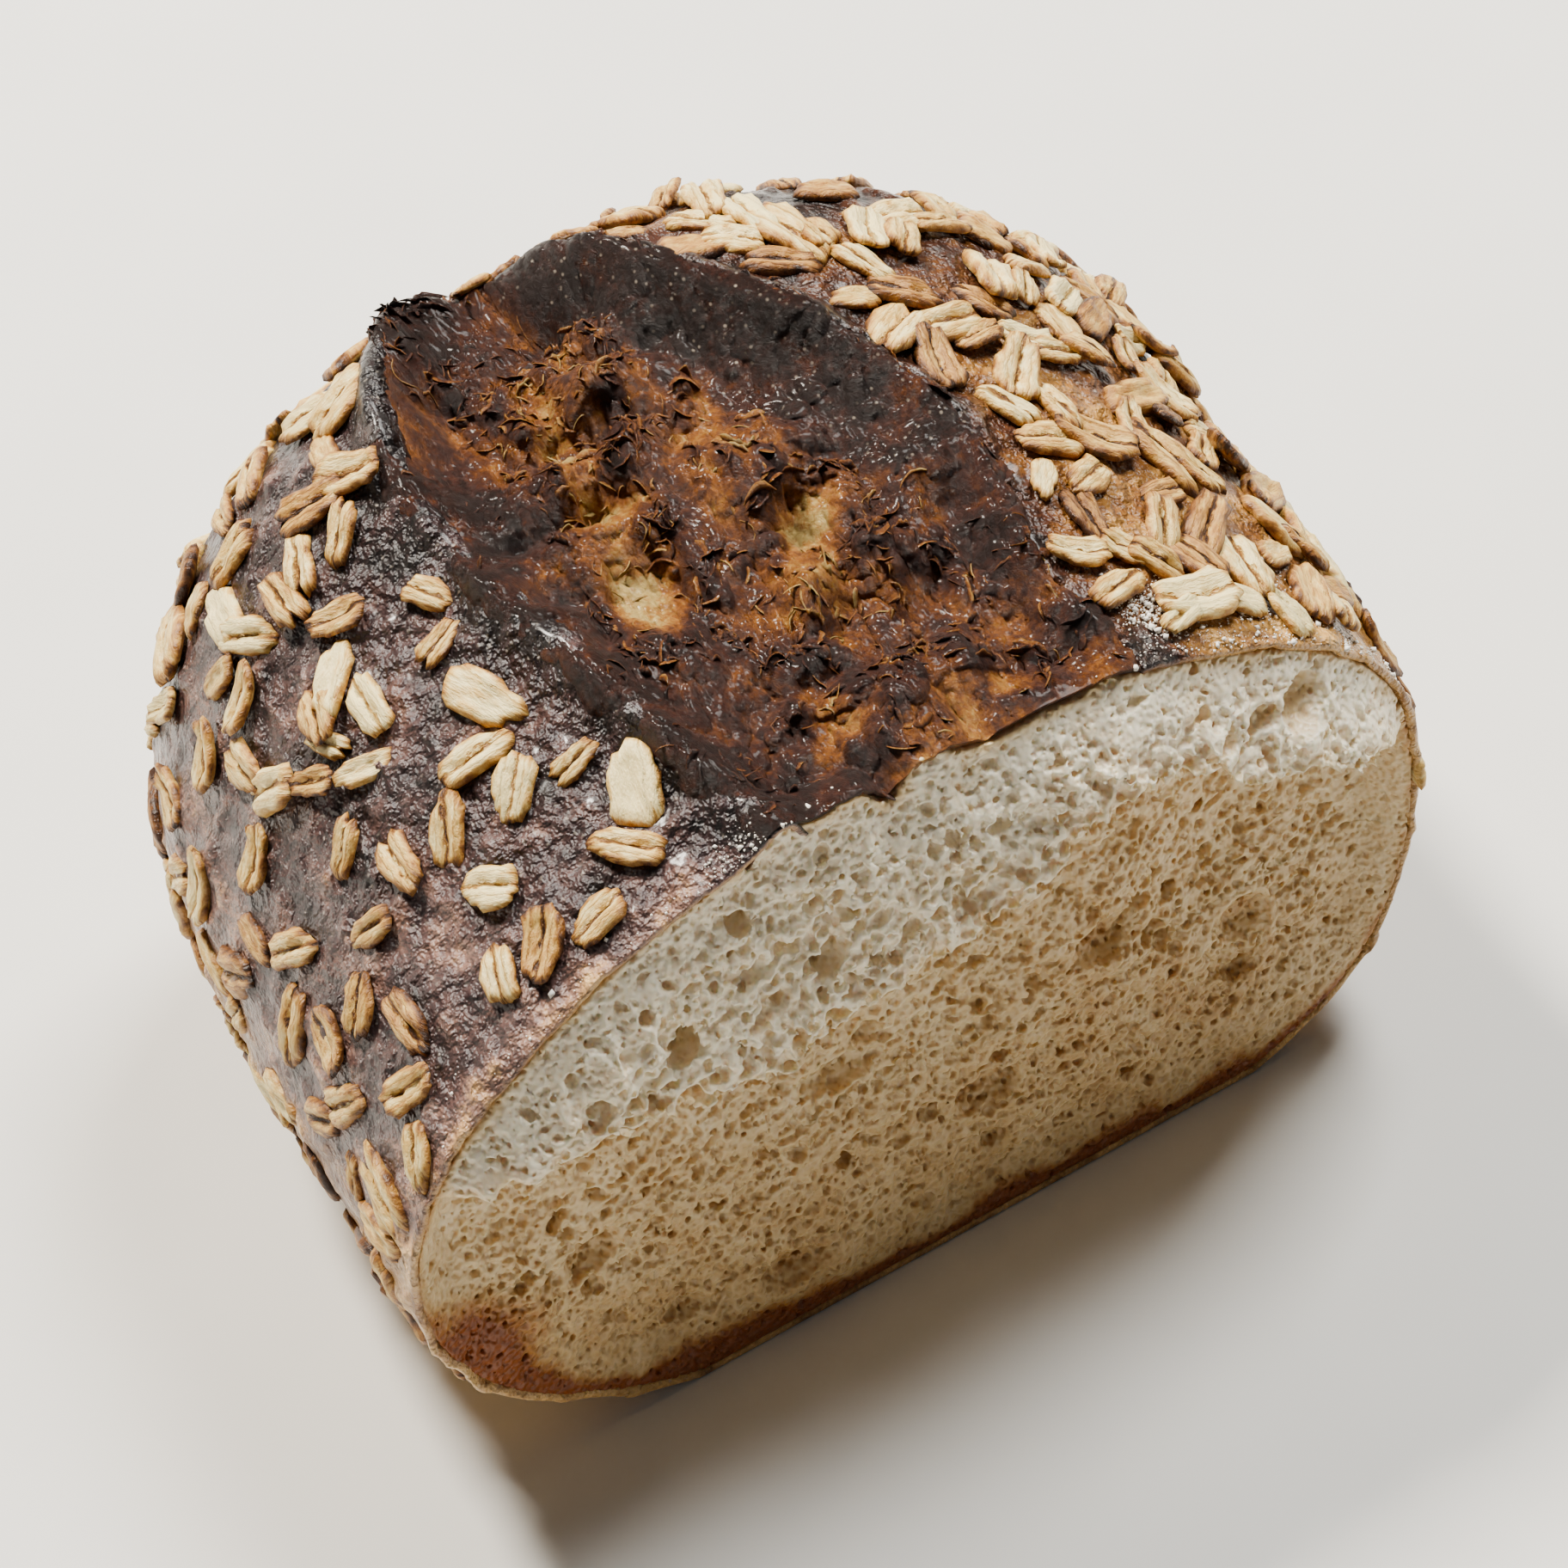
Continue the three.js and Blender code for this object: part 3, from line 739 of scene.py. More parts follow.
@dataclass(frozen=True)
class OatFinish:
    """Rolled oat flakes, toasted dry: husk-coloured creases darkened further with painted shade, and browned
    thin edges.
    """

    name: str = "toasted_rolled_oat"
    tones: Stops = (
        (0.0, "#F2DD9E"), (0.24, "#D9B262"), (0.48, "#B3803A"), (0.74, "#74471B"), (1.0, "#361D0D"),
    )
    crease_mm: float = 0.34
    side_crease_at_mm: float = 1.3
    streak_mm: float = 1.1
    streak_rise_mm: float = 0.7
    lots: float = 90.0

    def material(self) -> bpy.types.Material:
        """Build the flakes: cream backs, toast and painted shade in the creases, one tone a flake."""
        paint = Painter(self.name)
        toast = paint.mark("toast")
        lie = paint.mark("lie", "Vector")
        along = add(paint.tree, "ShaderNodeSeparateXYZ", {"Vector": lie}).outputs
        drawn = {
            "Vector": paint.move("MULTIPLY", lie, {1: (0.45, 1.5, 0.0)}),
            "W": paint.sum_up("MULTIPLY", toast, self.lots),
            "Scale": 1.0 / self.streak_mm,
            "Detail": 5.0,
            "Roughness": 0.65,
        }
        streak = add(paint.tree, "ShaderNodeTexNoise", drawn, noise_dimensions="4D").outputs["Fac"]
        aside = paint.sum_up("ADD", along["Y"], paint.spread(streak, 0.3, 0.7, -0.45, 0.45))
        off = paint.sum_up("ABSOLUTE", aside)
        beside = paint.sum_up("ABSOLUTE", paint.sum_up("SUBTRACT", off, self.side_crease_at_mm))
        # Crease lines: husk colour, darkened further as painted shade in the grooves; the same lines also
        # sink the bump.
        middle = paint.spread(off, 0.0, self.crease_mm, 0.75, 0.0)
        sides = paint.spread(beside, 0.0, self.crease_mm / 2, 0.22, 0.0)
        lines = paint.sum_up("MAXIMUM", middle, sides)
        lines = paint.sum_up("MULTIPLY", lines, paint.spread(along["Z"], 0.0, 1.0, 1.0, 0.6))
        rim = paint.sum_up("MULTIPLY", paint.spread(along["Z"], 0.72, 1.05, 0.0, 1.1), streak)
        cloud = paint.spread(streak, 0.3, 0.7, -0.26, 0.3)
        toned = paint.sum_up("ADD", toast, lines, rim, cloud, held=True)
        height = paint.sum_up("SUBTRACT", streak, lines)
        return paint.finish(
            {
                "Base Color": paint.tone(toned, self.tones),
                "Normal": paint.bump(height, 1.0, self.streak_rise_mm),
                "Roughness": 0.42,
                "IOR": 1.45,
                "Subsurface Weight": 0.15,
                "Subsurface Radius": (1.0, 0.7, 0.4),
                "Subsurface Scale": 0.0008,
            }
        )


@dataclass(frozen=True)
class PlainFinish:
    """A plain matt finish with a fine mottle, for flour and the studio floor."""

    name: str
    colour: str
    shade: str
    mottle_mm: float
    roughness: float = 0.85

    def material(self) -> bpy.types.Material:
        """Build it from two close tones."""
        paint = Painter(self.name)
        cloud = paint.noise(self.mottle_mm, 3.0).outputs["Fac"]
        colour = paint.tone(cloud, ((0.35, self.shade), (0.65, self.colour)))
        return paint.finish({"Base Color": colour, "Roughness": self.roughness})


def make_piece(
    name: str,
    points: Array,
    faces: list | Array,
    material: bpy.types.Material,
    marks: dict[str, Array] | None = None,
) -> bpy.types.Object:
    """Make a smooth mesh piece from points in mm.

    Args:
        name: the piece's name.
        points: (n, 3) places in mm.
        faces: corner numbers of each face, or arrays of them.
        material: its finish.
        marks: named values or places for each point, read by the finish.
    Returns:
        The new object, linked to the scene.
    """
    mesh = bpy.data.meshes.new(name)
    lists = faces if isinstance(faces, list) else [faces]
    corners = np.concatenate([f.ravel() for f in lists]).astype(np.int32)
    totals = np.concatenate([np.full(len(f), f.shape[1], np.int32) for f in lists])
    mesh.vertices.add(len(points))
    mesh.vertices.foreach_set("co", (np.asarray(points, float) * MM).astype(np.float32).ravel())
    mesh.loops.add(len(corners))
    mesh.loops.foreach_set("vertex_index", corners)
    mesh.polygons.add(len(totals))
    starts = np.concatenate([[0], np.cumsum(totals)[:-1]]).astype(np.int32)
    mesh.polygons.foreach_set("loop_start", starts)
    mesh.polygons.foreach_set("use_smooth", np.ones(len(totals), bool))
    mesh.update(calc_edges=True)
    mesh.validate()
    mark_points(mesh, marks or {})
    mesh.materials.append(material)
    piece = bpy.data.objects.new(name, mesh)
    bpy.context.scene.collection.objects.link(piece)
    return piece


def mark_points(mesh: bpy.types.Mesh, marks: dict[str, Array]) -> None:
    """Let a mesh carry named values or places at its points.

    Args:
        mesh: the mesh.
        marks: a value or a place for each point, by name.
    """
    for key, values in marks.items():
        kind, field = ("FLOAT_VECTOR", "vector") if np.ndim(values) == 2 else ("FLOAT", "value")
        layer = mesh.attributes.new(key, kind, "POINT")
        layer.data.foreach_set(field, np.asarray(values, np.float32).ravel())


def end_fans(rows: int, columns: int) -> list[Array]:
    """Give the fans that close a tube of rings to a point at each end.

    Args:
        rows, columns: the number of rings, and of points in each.
    Returns:
        Two arrays of triangles. The end points follow the rings' own, the first ring's first.
    """
    c = np.arange(columns)
    last, tip = (rows - 1) * columns, np.full(columns, rows * columns)
    first_fan = np.stack([tip, c, (c + 1) % columns], -1)
    return [first_fan, np.stack([last + (c + 1) % columns, last + c, tip + 1], -1)]


def grid_quads(rows: int, columns: int, closed: bool) -> Array:
    """Give the quads of a grid of points, whose rows may close on themselves.

    Args:
        rows, columns: the grid's size.
        closed: whether each row's last point joins its first.
    Returns:
        (n, 4) corner numbers.
    """
    r = np.arange(rows - 1)[:, None]
    c = np.arange(columns if closed else columns - 1)[None]
    after = (c + 1) % columns
    low, high = r * columns, (r + 1) * columns
    return np.stack(np.broadcast_arrays(low + c, high + c, high + after, low + after), -1).reshape(-1, 4)


class Grid:
    """A block of space in mm that shapes are carved in, and that is turned to a mesh."""

    def __init__(self, low: tuple, high: tuple, cell: float) -> None:
        """Lay out cells of one size between two corners.

        Args:
            low, high: the corners in mm.
            cell: a cell's size in mm.
        """
        self.low = np.array(low, float)
        self.cell = cell
        self.axes = [np.arange(a, b + cell / 2, cell) for a, b in zip(low, high)]
        self.shape = tuple(len(axis) for axis in self.axes)
        self.holes = np.full(self.shape, 9.0, np.float32)

    def carve(self, centre: Array, radii: Array, turn: Array) -> None:
        """Open an egg-shaped hole.

        Args:
            centre: its middle in mm.
            radii: its three half sizes.
            turn: rotation matrix of the egg's own axes.
        """
        reach = radii.max() + 2 * self.cell
        first = np.maximum(0, np.floor((centre - reach - self.low) / self.cell).astype(int))
        last = np.minimum(self.shape, np.ceil((centre + reach - self.low) / self.cell).astype(int) + 1)
        if np.any(last <= first):
            return
        window = tuple(slice(a, b) for a, b in zip(first, last))
        x, y, z = (axis[w] - c for axis, w, c in zip(self.axes, window, centre))
        x, y, z = x[:, None, None], y[None, :, None], z[None, None, :]
        total = 0.0
        for row, radius in zip(turn, radii):
            total = total + ((row[0] * x + row[1] * y + row[2] * z) / radius) ** 2
        block = self.holes[window]
        np.minimum(block, (np.sqrt(total) - 1) * radii.min(), out=block)

    def mesh(self, solid: Array, smoothness: float) -> tuple[Array, list[Array]]:
        """Turn a field that is negative inside the solid to one closed mesh.

        Args:
            solid: one value for each cell.
            smoothness: how far flat stretches may be made of larger faces, 0 to 1.
        Returns:
            Points in mm, and the triangles and quads between them.
        """
        grid = openvdb.FloatGrid(background=9.0)
        grid.copyFromArray(np.ascontiguousarray(solid, np.float32))
        points, triangles, quads = grid.convertToPolygons(isovalue=0.0, adaptivity=smoothness)
        points = points.astype(float) * self.cell + self.low
        return keep_largest(points, triangles.astype(np.int64), quads.astype(np.int64))


def keep_largest(points: Array, triangles: Array, quads: Array) -> tuple[Array, list[Array]]:
    """Drop loose scraps of a mesh, keeping the largest joined body, faces turned outwards.

    Args:
        points: places in mm.
        triangles, quads: corner numbers.
    Returns:
        The points and faces that are kept.
    """
    sides = [triangles[:, [a, (a + 1) % 3]] for a in range(3)]
    sides += [quads[:, [a, (a + 1) % 4]] for a in range(4)]
    pairs = np.concatenate(sides)
    label = np.arange(len(points))
    while True:
        low = np.minimum(label[pairs[:, 0]], label[pairs[:, 1]])
        after = label.copy()
        np.minimum.at(after, label[pairs[:, 0]], low)
        np.minimum.at(after, label[pairs[:, 1]], low)
        after = after[after]
        after = after[after]
        if np.array_equal(after, label):
            break
        label = after
    names, counts = np.unique(label, return_counts=True)
    keep = label == names[counts.argmax()]
    number = np.cumsum(keep) - 1
    points = points[keep]
    kept = [number[f[keep[f[:, 0]]]] for f in (triangles, quads)]
    return face_outwards(points, [f for f in kept if len(f)])


def face_outwards(points: Array, faces: list[Array]) -> tuple[Array, list[Array]]:
    """Turn a closed mesh's faces over if they point inwards.

    Args:
        points: places in mm.
        faces: arrays of corner numbers.
    Returns:
        The same points and the faces, turned where needed.
    """
    three = np.concatenate([f[:, [0, n, n + 1]] for f in faces for n in range(1, f.shape[1] - 1)])
    a, b, c = (points[three[:, n]] for n in range(3))
    inside_out = np.einsum("ij,ij->", a, np.cross(b, c)) < 0
    return points, [f[:, ::-1] for f in faces] if inside_out else faces


def random_turns(rng: np.random.Generator, count: int) -> Array:
    """Give random rotation matrices.

    Args:
        rng: the seeded random draw.
        count: how many.
    Returns:
        An array, (count, 3, 3).
    """
    q = rng.normal(size=(count, 4))
    w, x, y, z = (q / np.linalg.norm(q, axis=1, keepdims=True)).T
    rows = [
        [1 - 2 * (y * y + z * z), 2 * (x * y - z * w), 2 * (x * z + y * w)],
        [2 * (x * y + z * w), 1 - 2 * (x * x + z * z), 2 * (y * z - x * w)],
        [2 * (x * z - y * w), 2 * (y * z + x * w), 1 - 2 * (x * x + y * y)],
    ]
    return np.moveaxis(np.array(rows), 2, 0)


@dataclass(frozen=True)
class Crust:
    """The baked skin with its thin rim at the cut, closed behind the crumb."""

    form: LoafForm
    rim: CutRim
    rows: int = 176
    columns: int = 500
    sunk_under_bloom: float = 5.5
    blister_mm: float = 2.4
    blister_height: float = 0.55
    wrinkle_mm: float = 4.5
    wrinkle_height: float = 0.5
    sunk_further: float = 3.5
    bare_patch: tuple[float, float, float] = (-36.0, 27.0, 12.0)
    rim_steps: Pairs = ((0.3, 0.15), (0.75, 0.05), (1.1, -0.6), (1.5, -3.0), (2.0, -13.0))

    @cached_property
    def turns(self) -> Array:
        """The turns round the section, evenly spaced along the skin."""
        dense = np.linspace(0, 2 * math.pi, 4001)
        line = self.form.smooth(np.array(0.0), np.array(1.0), dense)
        length = np.concatenate([[0.0], np.cumsum(np.linalg.norm(np.diff(line, axis=0), axis=1))])
        return np.interp(np.arange(self.columns) / self.columns * length[-1], length, dense)

    def bake(self, points: Array, back_mm: Array) -> Array:
        """Give how hard each place was baked: 0 pale gold to 1 charred.

        Args:
            points: places in mm.
            back_mm: their distance back from the cut.
        Returns:
            One share for each point.
        """
        form = self.form
        y, z = points[..., 1], points[..., 2]
        left, right = smooth_curve(form.left_edge, back_mm), smooth_curve(form.right_edge, back_mm)
        high = ramp(z, 12, 62)
        left_side = 0.08 + 0.64 * high + 0.28 * hump((y - left) / 8) * ramp(z, 50, 66)
        right_side = 0.24 + 0.16 * high + 0.22 * ramp(back_mm, 20, 60)
        right_side = right_side + 0.4 * hump((y - right) / 6.0) * ramp(z, 50, 66)
        tone = mix(left_side, right_side, ramp(y, -12, 12))
        at_x, at_y, size = self.bare_patch
        bare = hump(np.hypot(points[..., 0] - at_x, y - at_y) / size) * ramp(z, 60, 75)
        end = ramp(back_mm, 78, 88) * ramp(z, 30, 80)
        tone = tone + 0.34 * end + 0.5 * bare
        tone = mix(0.36, tone, ramp(z, 0.3, 7))
        golden = hump(back_mm / mix(8.0, 3.5, ramp(z, 22, 60))) * ramp(-y, 12, 40)
        golden = golden + 0.5 * hump(back_mm / 3.5) * ramp(y, 30, 45)
        return tone - 0.32 * golden

    def gold(self, points: Array) -> Array:
        """Give how golden the brown is: most on the right and at the foot, least on the dark left."""
        y, z = points[..., 1], points[..., 2]
        golden = np.maximum(ramp(y, -8, 14), 0.8 * hump(z / 22))
        return np.clip(golden + 0.25 * layered_noise(points, 9.0, 2, 93.0), 0, 1)

    def sunk(self, skin: Array, back_mm: Array) -> Array:
        """Give how far the skin sinks where the torn bloom covers it.

        Args:
            skin: places on the skin.
            back_mm: their distance back from the cut.
        Returns:
            Depths in mm, 0 outside the bloom.
        """
        form = self.form
        from_lip = skin[..., 1] - smooth_curve(form.left_edge, back_mm)
        from_ear = smooth_curve(form.right_edge, back_mm) - skin[..., 1]
        far = ramp(back_mm, 55, 66)
        under = ramp(from_lip, mix(1.2, 0.4, far), mix(4.5, 2.6, far))
        under = under * ramp(from_ear, 0.0, 2.5) * ramp(skin[..., 2], 45, 60)
        sunk = self.sunk_under_bloom + self.sunk_further * ramp(back_mm, 45, 70)
        return sunk * under * (1 - ramp(back_mm, 82, 86.5))

    def rim_rows(self, edge: Array, bake: Array) -> list[tuple[Array, Array]]:
        """Give the rows that turn the skin in at the cut, by the crust's thickness.

        Args:
            edge: the skin's last row of points.
            bake: the tone of each.
        Returns:
            For each row its points and their tones.
        """
        along = unit(np.roll(edge, -1, axis=0) - np.roll(edge, 1, axis=0))
        inward = unit(np.stack([np.zeros(len(edge)), -along[:, 2], along[:, 1]], axis=-1))
        palest, darkest = 0.1, mix(0.55, 0.3, ramp(edge[:, 2], 6, 20))
        rows = []
        for inset, ahead in self.rim_steps:
            row = edge + inward * inset
            row[:, 0] += ahead
            row[:, 2] = np.maximum(row[:, 2], 0.02 + 0.4 * inset)
            rows.append((row, np.clip(bake - 0.28 * inset, palest, darkest)))
        return rows

    def build(self, finish: BakedCrustFinish) -> bpy.types.Object:
        """Make the skin's mesh, turn its rim in at the cut, close it and dress it.

        Args:
            finish: the crust's finish.
        Returns:
            The crust.
        """
        form = self.form
        arc = np.linspace(0, 0.985, self.rows)
        grid_arc, grid_turn = np.meshgrid(arc, self.turns, indexing="ij")
        skin, out = form.skin(grid_arc, grid_turn)
        back_mm = form.station(grid_arc)[0] * form.length
        free = ramp(skin[..., 2], 0.4, 4.0)
        wrinkles = self.wrinkle_height * layered_noise(skin, self.wrinkle_mm, 3, 4.0)
        spots = layered_noise(skin, self.blister_mm, 2, 31.0)
        blisters = self.blister_height * ramp(spots, 0.05, 0.55)
        skin = skin + out * ((wrinkles + blisters) * free - self.sunk(skin, back_mm))[..., None]
        skin[..., 2] = eased_under(np.maximum(0.0, skin[..., 2]), form.topmost)
        bake = self.bake(skin, back_mm) + 0.12 * layered_noise(skin, 16.0, 2, 8.0)
        bake = bake - 0.14 * ramp(spots, 0.1, 0.6)
        gold = self.gold(skin)
        rows = [skin[n] for n in range(self.rows)][::-1]
        marks = [bake[n] for n in range(self.rows)][::-1]
        golds = [gold[n] for n in range(self.rows)][::-1]
        for row, tone in self.rim_rows(skin[0], bake[0]):
            rows.append(row)
            marks.append(tone)
            golds.append(gold[0])
        tip = skin[-1].mean(0) + np.array([-0.4, 0, 0])
        hub = np.array([form.to_cut + self.rim_steps[-1][1], 0.0, 40.0])
        points = np.concatenate([*rows, tip[None], hub[None]])
        values = np.concatenate([*marks, [bake[-1].mean()], [0.3]])
        golden = np.concatenate([*golds, [gold[-1].mean()], [0.5]])
        n, count = self.columns, len(rows)
        faces = [grid_quads(count, n, True), *end_fans(count, n)]
        return make_piece("crust", points, faces, finish.material(), {"bake": values, "gold": golden})


@dataclass(frozen=True)
class Crumb:
    """The cut face's open crumb, torn to a ragged ledge, as a slab inside the crust.

    Attributes:
        passes: for each round of pores how many, the least and most radius, and how deep they sit.
        caves: for each cave under the ledge its place across, half width, height and depth.
        hollows: for each large hole its places across and up, half width, half height and depth.
    """

    form: LoafForm
    rim: CutRim
    cell: float = 0.32
    thick: float = 11.0
    inset: float = 0.85
    foot_top: float = 28.5
    overlap: float = 0.6
    passes: tuple[tuple[int, float, float, float], ...] = (
        (110, 1.4, 2.8, 0.45),
        (1250, 0.7, 1.4, 0.65),
        (19000, 0.34, 0.72, 0.9),
    )
    seed: int = 41
    caves: tuple[tuple[float, float, float, float], ...] = (
        (-24, 5.5, 2.6, 5.0),
        (-12, 6.0, 3.0, 6.0),
        (-1, 6.0, 3.4, 7.0),
        (10, 7.0, 3.8, 7.5),
        (19, 6.0, 4.6, 8.5),
        (28, 6.5, 3.8, 8.0),
        (36, 5.0, 3.0, 6.0),
    )
    hollows: tuple[tuple[float, float, float, float, float], ...] = (
        (36, 58, 6.5, 5, 8),
        (47, 62.5, 3.8, 3, 5),
        (41, 64, 2.8, 2, 3),
        (-21, 45.5, 5, 2.6, 3),
        (-10.5, 33, 5.5, 2.2, 2.6),
        (-20, 10, 4.6, 2.8, 3),
        (-49, 47, 4, 2.4, 2.6),
        (-43, 27, 3.6, 2.6, 2.8),
        (-33, 11, 2.8, 2, 2.2),
        (7, 20, 4.4, 3, 3),
        (24, 35, 5.6, 3.4, 3.6),
        (42, 25, 4.2, 3.6, 3.2),
        (4, 46, 3.4, 2.2, 2.4),
    )

    def ragged(self, y: Array, z: Array) -> Array:
        """Give how far the ledge strays up or down, coarsely and finely."""
        flat = np.stack([np.zeros_like(y), y, z * 0.4], axis=-1)
        return 3.2 * layered_noise(flat, 13.0, 2, 3.0) + 3.6 * layered_noise(flat, 4.2, 3, 27.0)

    def front(self, y: Array, z: Array) -> Array:
        """Give the torn face's place ahead of the knife's plane, before the pores open it.

        Args:
            y, z: places across and up.
        Returns:
            Distances in mm.
        """
        flat = np.stack([np.zeros_like(y), y, z], axis=-1)
        ragged = self.ragged(y, z)
        relief = self.form.crumb_relief(y, z, self.rim.distance(y, z), ragged)
        below = smooth_curve(self.form.ledge, y) + ragged - z
        low = ramp(below, 0.0, 5.0)
        walls = 0.5 - np.abs(layered_noise(flat * np.array([1, 1, 0.7]), 2.6, 3, 52.0)) * 2.4
        torn = 0.8 * layered_noise(flat, 9.0, 3, 12.0) + mix(0.75, 0.4, low) * walls
        torn = torn + low * (1.5 * layered_noise(flat, 15.0, 2, 81.0) - 0.3)
        torn = torn + 2.2 * layered_noise(flat, 5.0, 3, 61.0) * hump((below + 3.5) / 5.5)
        scooped = 4.6 * ramp(below, 0.3, 3.0) * (1 - ramp(below, 5, 38))
        return relief + (torn - scooped) * ramp(self.rim.distance(y, z), 0.5, 7)

    def carve_pores(self, block: Grid, solid: Array) -> None:
        """Open the named hollows, then pores in ever finer passes, each on the face left by the last.

        Args:
            block: the space that is carved.
            solid: the slab before any pore, negative inside it.
        """
        rng = np.random.default_rng(self.seed)
        under = [
            (y, float(smooth_curve(self.form.ledge, np.array(float(y)))) - 2.2 - high / 2, wide, high, deep)
            for y, wide, high, deep in self.caves
        ]
        for y, z, half_width, half_height, depth in (*under, *self.hollows):
            at = float(self.front(np.array(y, float), np.array(z, float))) + depth / 4
            block.carve(np.array([at, y, z]), np.array([depth, half_width, half_height]), np.eye(3))
        x_axis = block.axes[0]
        for count, least, most, sunk in self.passes:
            filled = np.maximum(solid, -block.holes) < 0
            face = x_axis[len(x_axis) - 1 - filled[::-1].argmax(0)]
            y, z = rng.uniform(-66, 66, count), rng.uniform(0, 82, count)
            inward = self.rim.distance(y, z)
            size = least + (most - least) * rng.uniform(0, 1, count) ** 2.2
            size = size * (0.55 + 0.45 * ramp(inward, 1, 14))
            low = ramp(smooth_curve(self.form.ledge, y) - z, 0, 6)
            size = size * (1 - 0.25 * low)
            i = np.clip(((y - block.low[1]) / block.cell).round().astype(int), 0, block.shape[1] - 1)
            k = np.clip(((z - block.low[2]) / block.cell).round().astype(int), 0, block.shape[2] - 1)
            x = face[i, k] - size * rng.uniform(-0.45, sunk, count) * (1 - 0.35 * low)
            stretch = rng.uniform(0.7, 1.3, (count, 3))
            turns = random_turns(rng, count)
            kept = rng.uniform(size=count) > 0.6 * low * (most > 0.8)
            for n in np.nonzero(kept & (inward > 0.9 + 0.6 * size))[0]:
                block.carve(np.array([x[n], y[n], z[n]]), size[n] * stretch[n], turns[n])

    def browning_and_painted_shade(self, points: Array) -> Array:
        """Give how warm the crumb's tone is: browned at the baked rim, and painted shade deep in the pores
        and below the ledge.

        Args:
            points: places on the carved crumb, in mm from the knife's plane.
        Returns:
            A value for each point, 0 for pale.
        """
        y, z = points[:, 1], points[:, 2]
        depth = self.front(y, z) - points[:, 0]
        inward = self.rim.distance(y, z)
        base = np.maximum(1 - ramp(z, 2, 12), ramp(-y, 34, 46) * (1 - ramp(z, 24, 38)))
        patches = ramp(layered_noise(points, 9.0, 3, 44.0), -0.25, 0.25) * (0.35 + 0.65 * ramp(-y, 5, 30))
        rim_width = 0.8 + base * (0.8 + 4.6 * patches + 3.0 * ramp(-y, 44, 56))
        rim_width = rim_width + 0.5 * layered_noise(points, 3.0, 2, 44.0)
        browned = hump(np.maximum(0, inward - 0.7) / np.maximum(rim_width, 0.4))
        # Painted shade: the deeper a point lies in a pore, the warmer and darker its tone.
        browning_and_painted_shade = 0.04 + 0.3 * ramp(depth, 0.2, 5.5) + 0.2 * ramp(depth, 4, 9)
        browning_and_painted_shade = browning_and_painted_shade + mix(0.4, 0.85, base) * browned
        below = smooth_curve(self.form.ledge, y) + self.ragged(y, z) - z
        # Painted shade: the face below the ledge is toned warmer and darker, most of all just under the
        # overhang.
        browning_and_painted_shade = browning_and_painted_shade + 0.25 * ramp(below, -2.0, 6.0) + 0.22 * ramp(below, 8, 50)
        return browning_and_painted_shade + 0.16 * hump((below - 3) / 4) + 0.06 * layered_noise(points, 5.0, 3, 23.0)

    def build(self, finish: CrumbFinish) -> list[bpy.types.Object]:
        """Carve the crumb and make it in three parts: over the ledge, under it and at the foot.

        Args:
            finish: the crumb's finish.
        Returns:
            The three parts, from the top down.
        """
        form = self.form
        block = Grid((-self.thick - 1, -66, 0), (form.ledge_out + 3.5, 66, 84), self.cell)
        x, y, z = block.axes
        yy, zz = np.meshgrid(y, z, indexing="ij")
        distance = self.rim.distance(yy, zz)
        front = self.front(yy, zz)
        taper = np.maximum(0.0, -x) * 0.1 + np.maximum(0.0, -x - 3) * 0.55
        solid = np.maximum(x[:, None, None] - front[None], -(x[:, None, None] + self.thick))
        side = self.inset + taper[:, None, None] - distance[None]
        solid = np.maximum(solid, side).astype(np.float32)
        self.carve_pores(block, solid)
        solid = np.maximum(solid, -block.holes)
        material = finish.material()
        split = smooth_curve(form.ledge, yy) - 1.5
        parts = (
            ("crumb_band", split - zz),
            ("crumb_face", np.maximum(zz - split, self.foot_top - zz)),
            ("crumb_foot", zz - self.foot_top - self.overlap),
        )
        pieces = []
        for name, part in parts:
            points, faces = block.mesh(np.maximum(solid, part[None]), 0.12)
            browning_and_painted_shade = self.browning_and_painted_shade(points)
            jitter = 0.07 * layered_noise(points, 0.8, 2, 5.0)
            points = points + np.outer(jitter, (1.0, 0.0, 0.0))
            points[:, 0] += form.to_cut + form.cut_forward(points[:, 1], points[:, 2])
            points[:, 0] = eased_under(points[:, 0], form.foremost)
            points[:, 2] = np.maximum(points[:, 2], 0.05)
            pieces.append(make_piece(name, points, faces, material, {"browning_and_painted_shade": browning_and_painted_shade}))
            log.info("%s: %d faces", name, sum(len(f) for f in faces))
        return pieces


@dataclass(frozen=True)
class Hollow:
    """A tear in the bloom: its place, half sizes, depth and how pale its floor stayed, 0 to 1."""

    back: float
    y: float
    half_back: float
    half_y: float
    depth: float
    pale: float


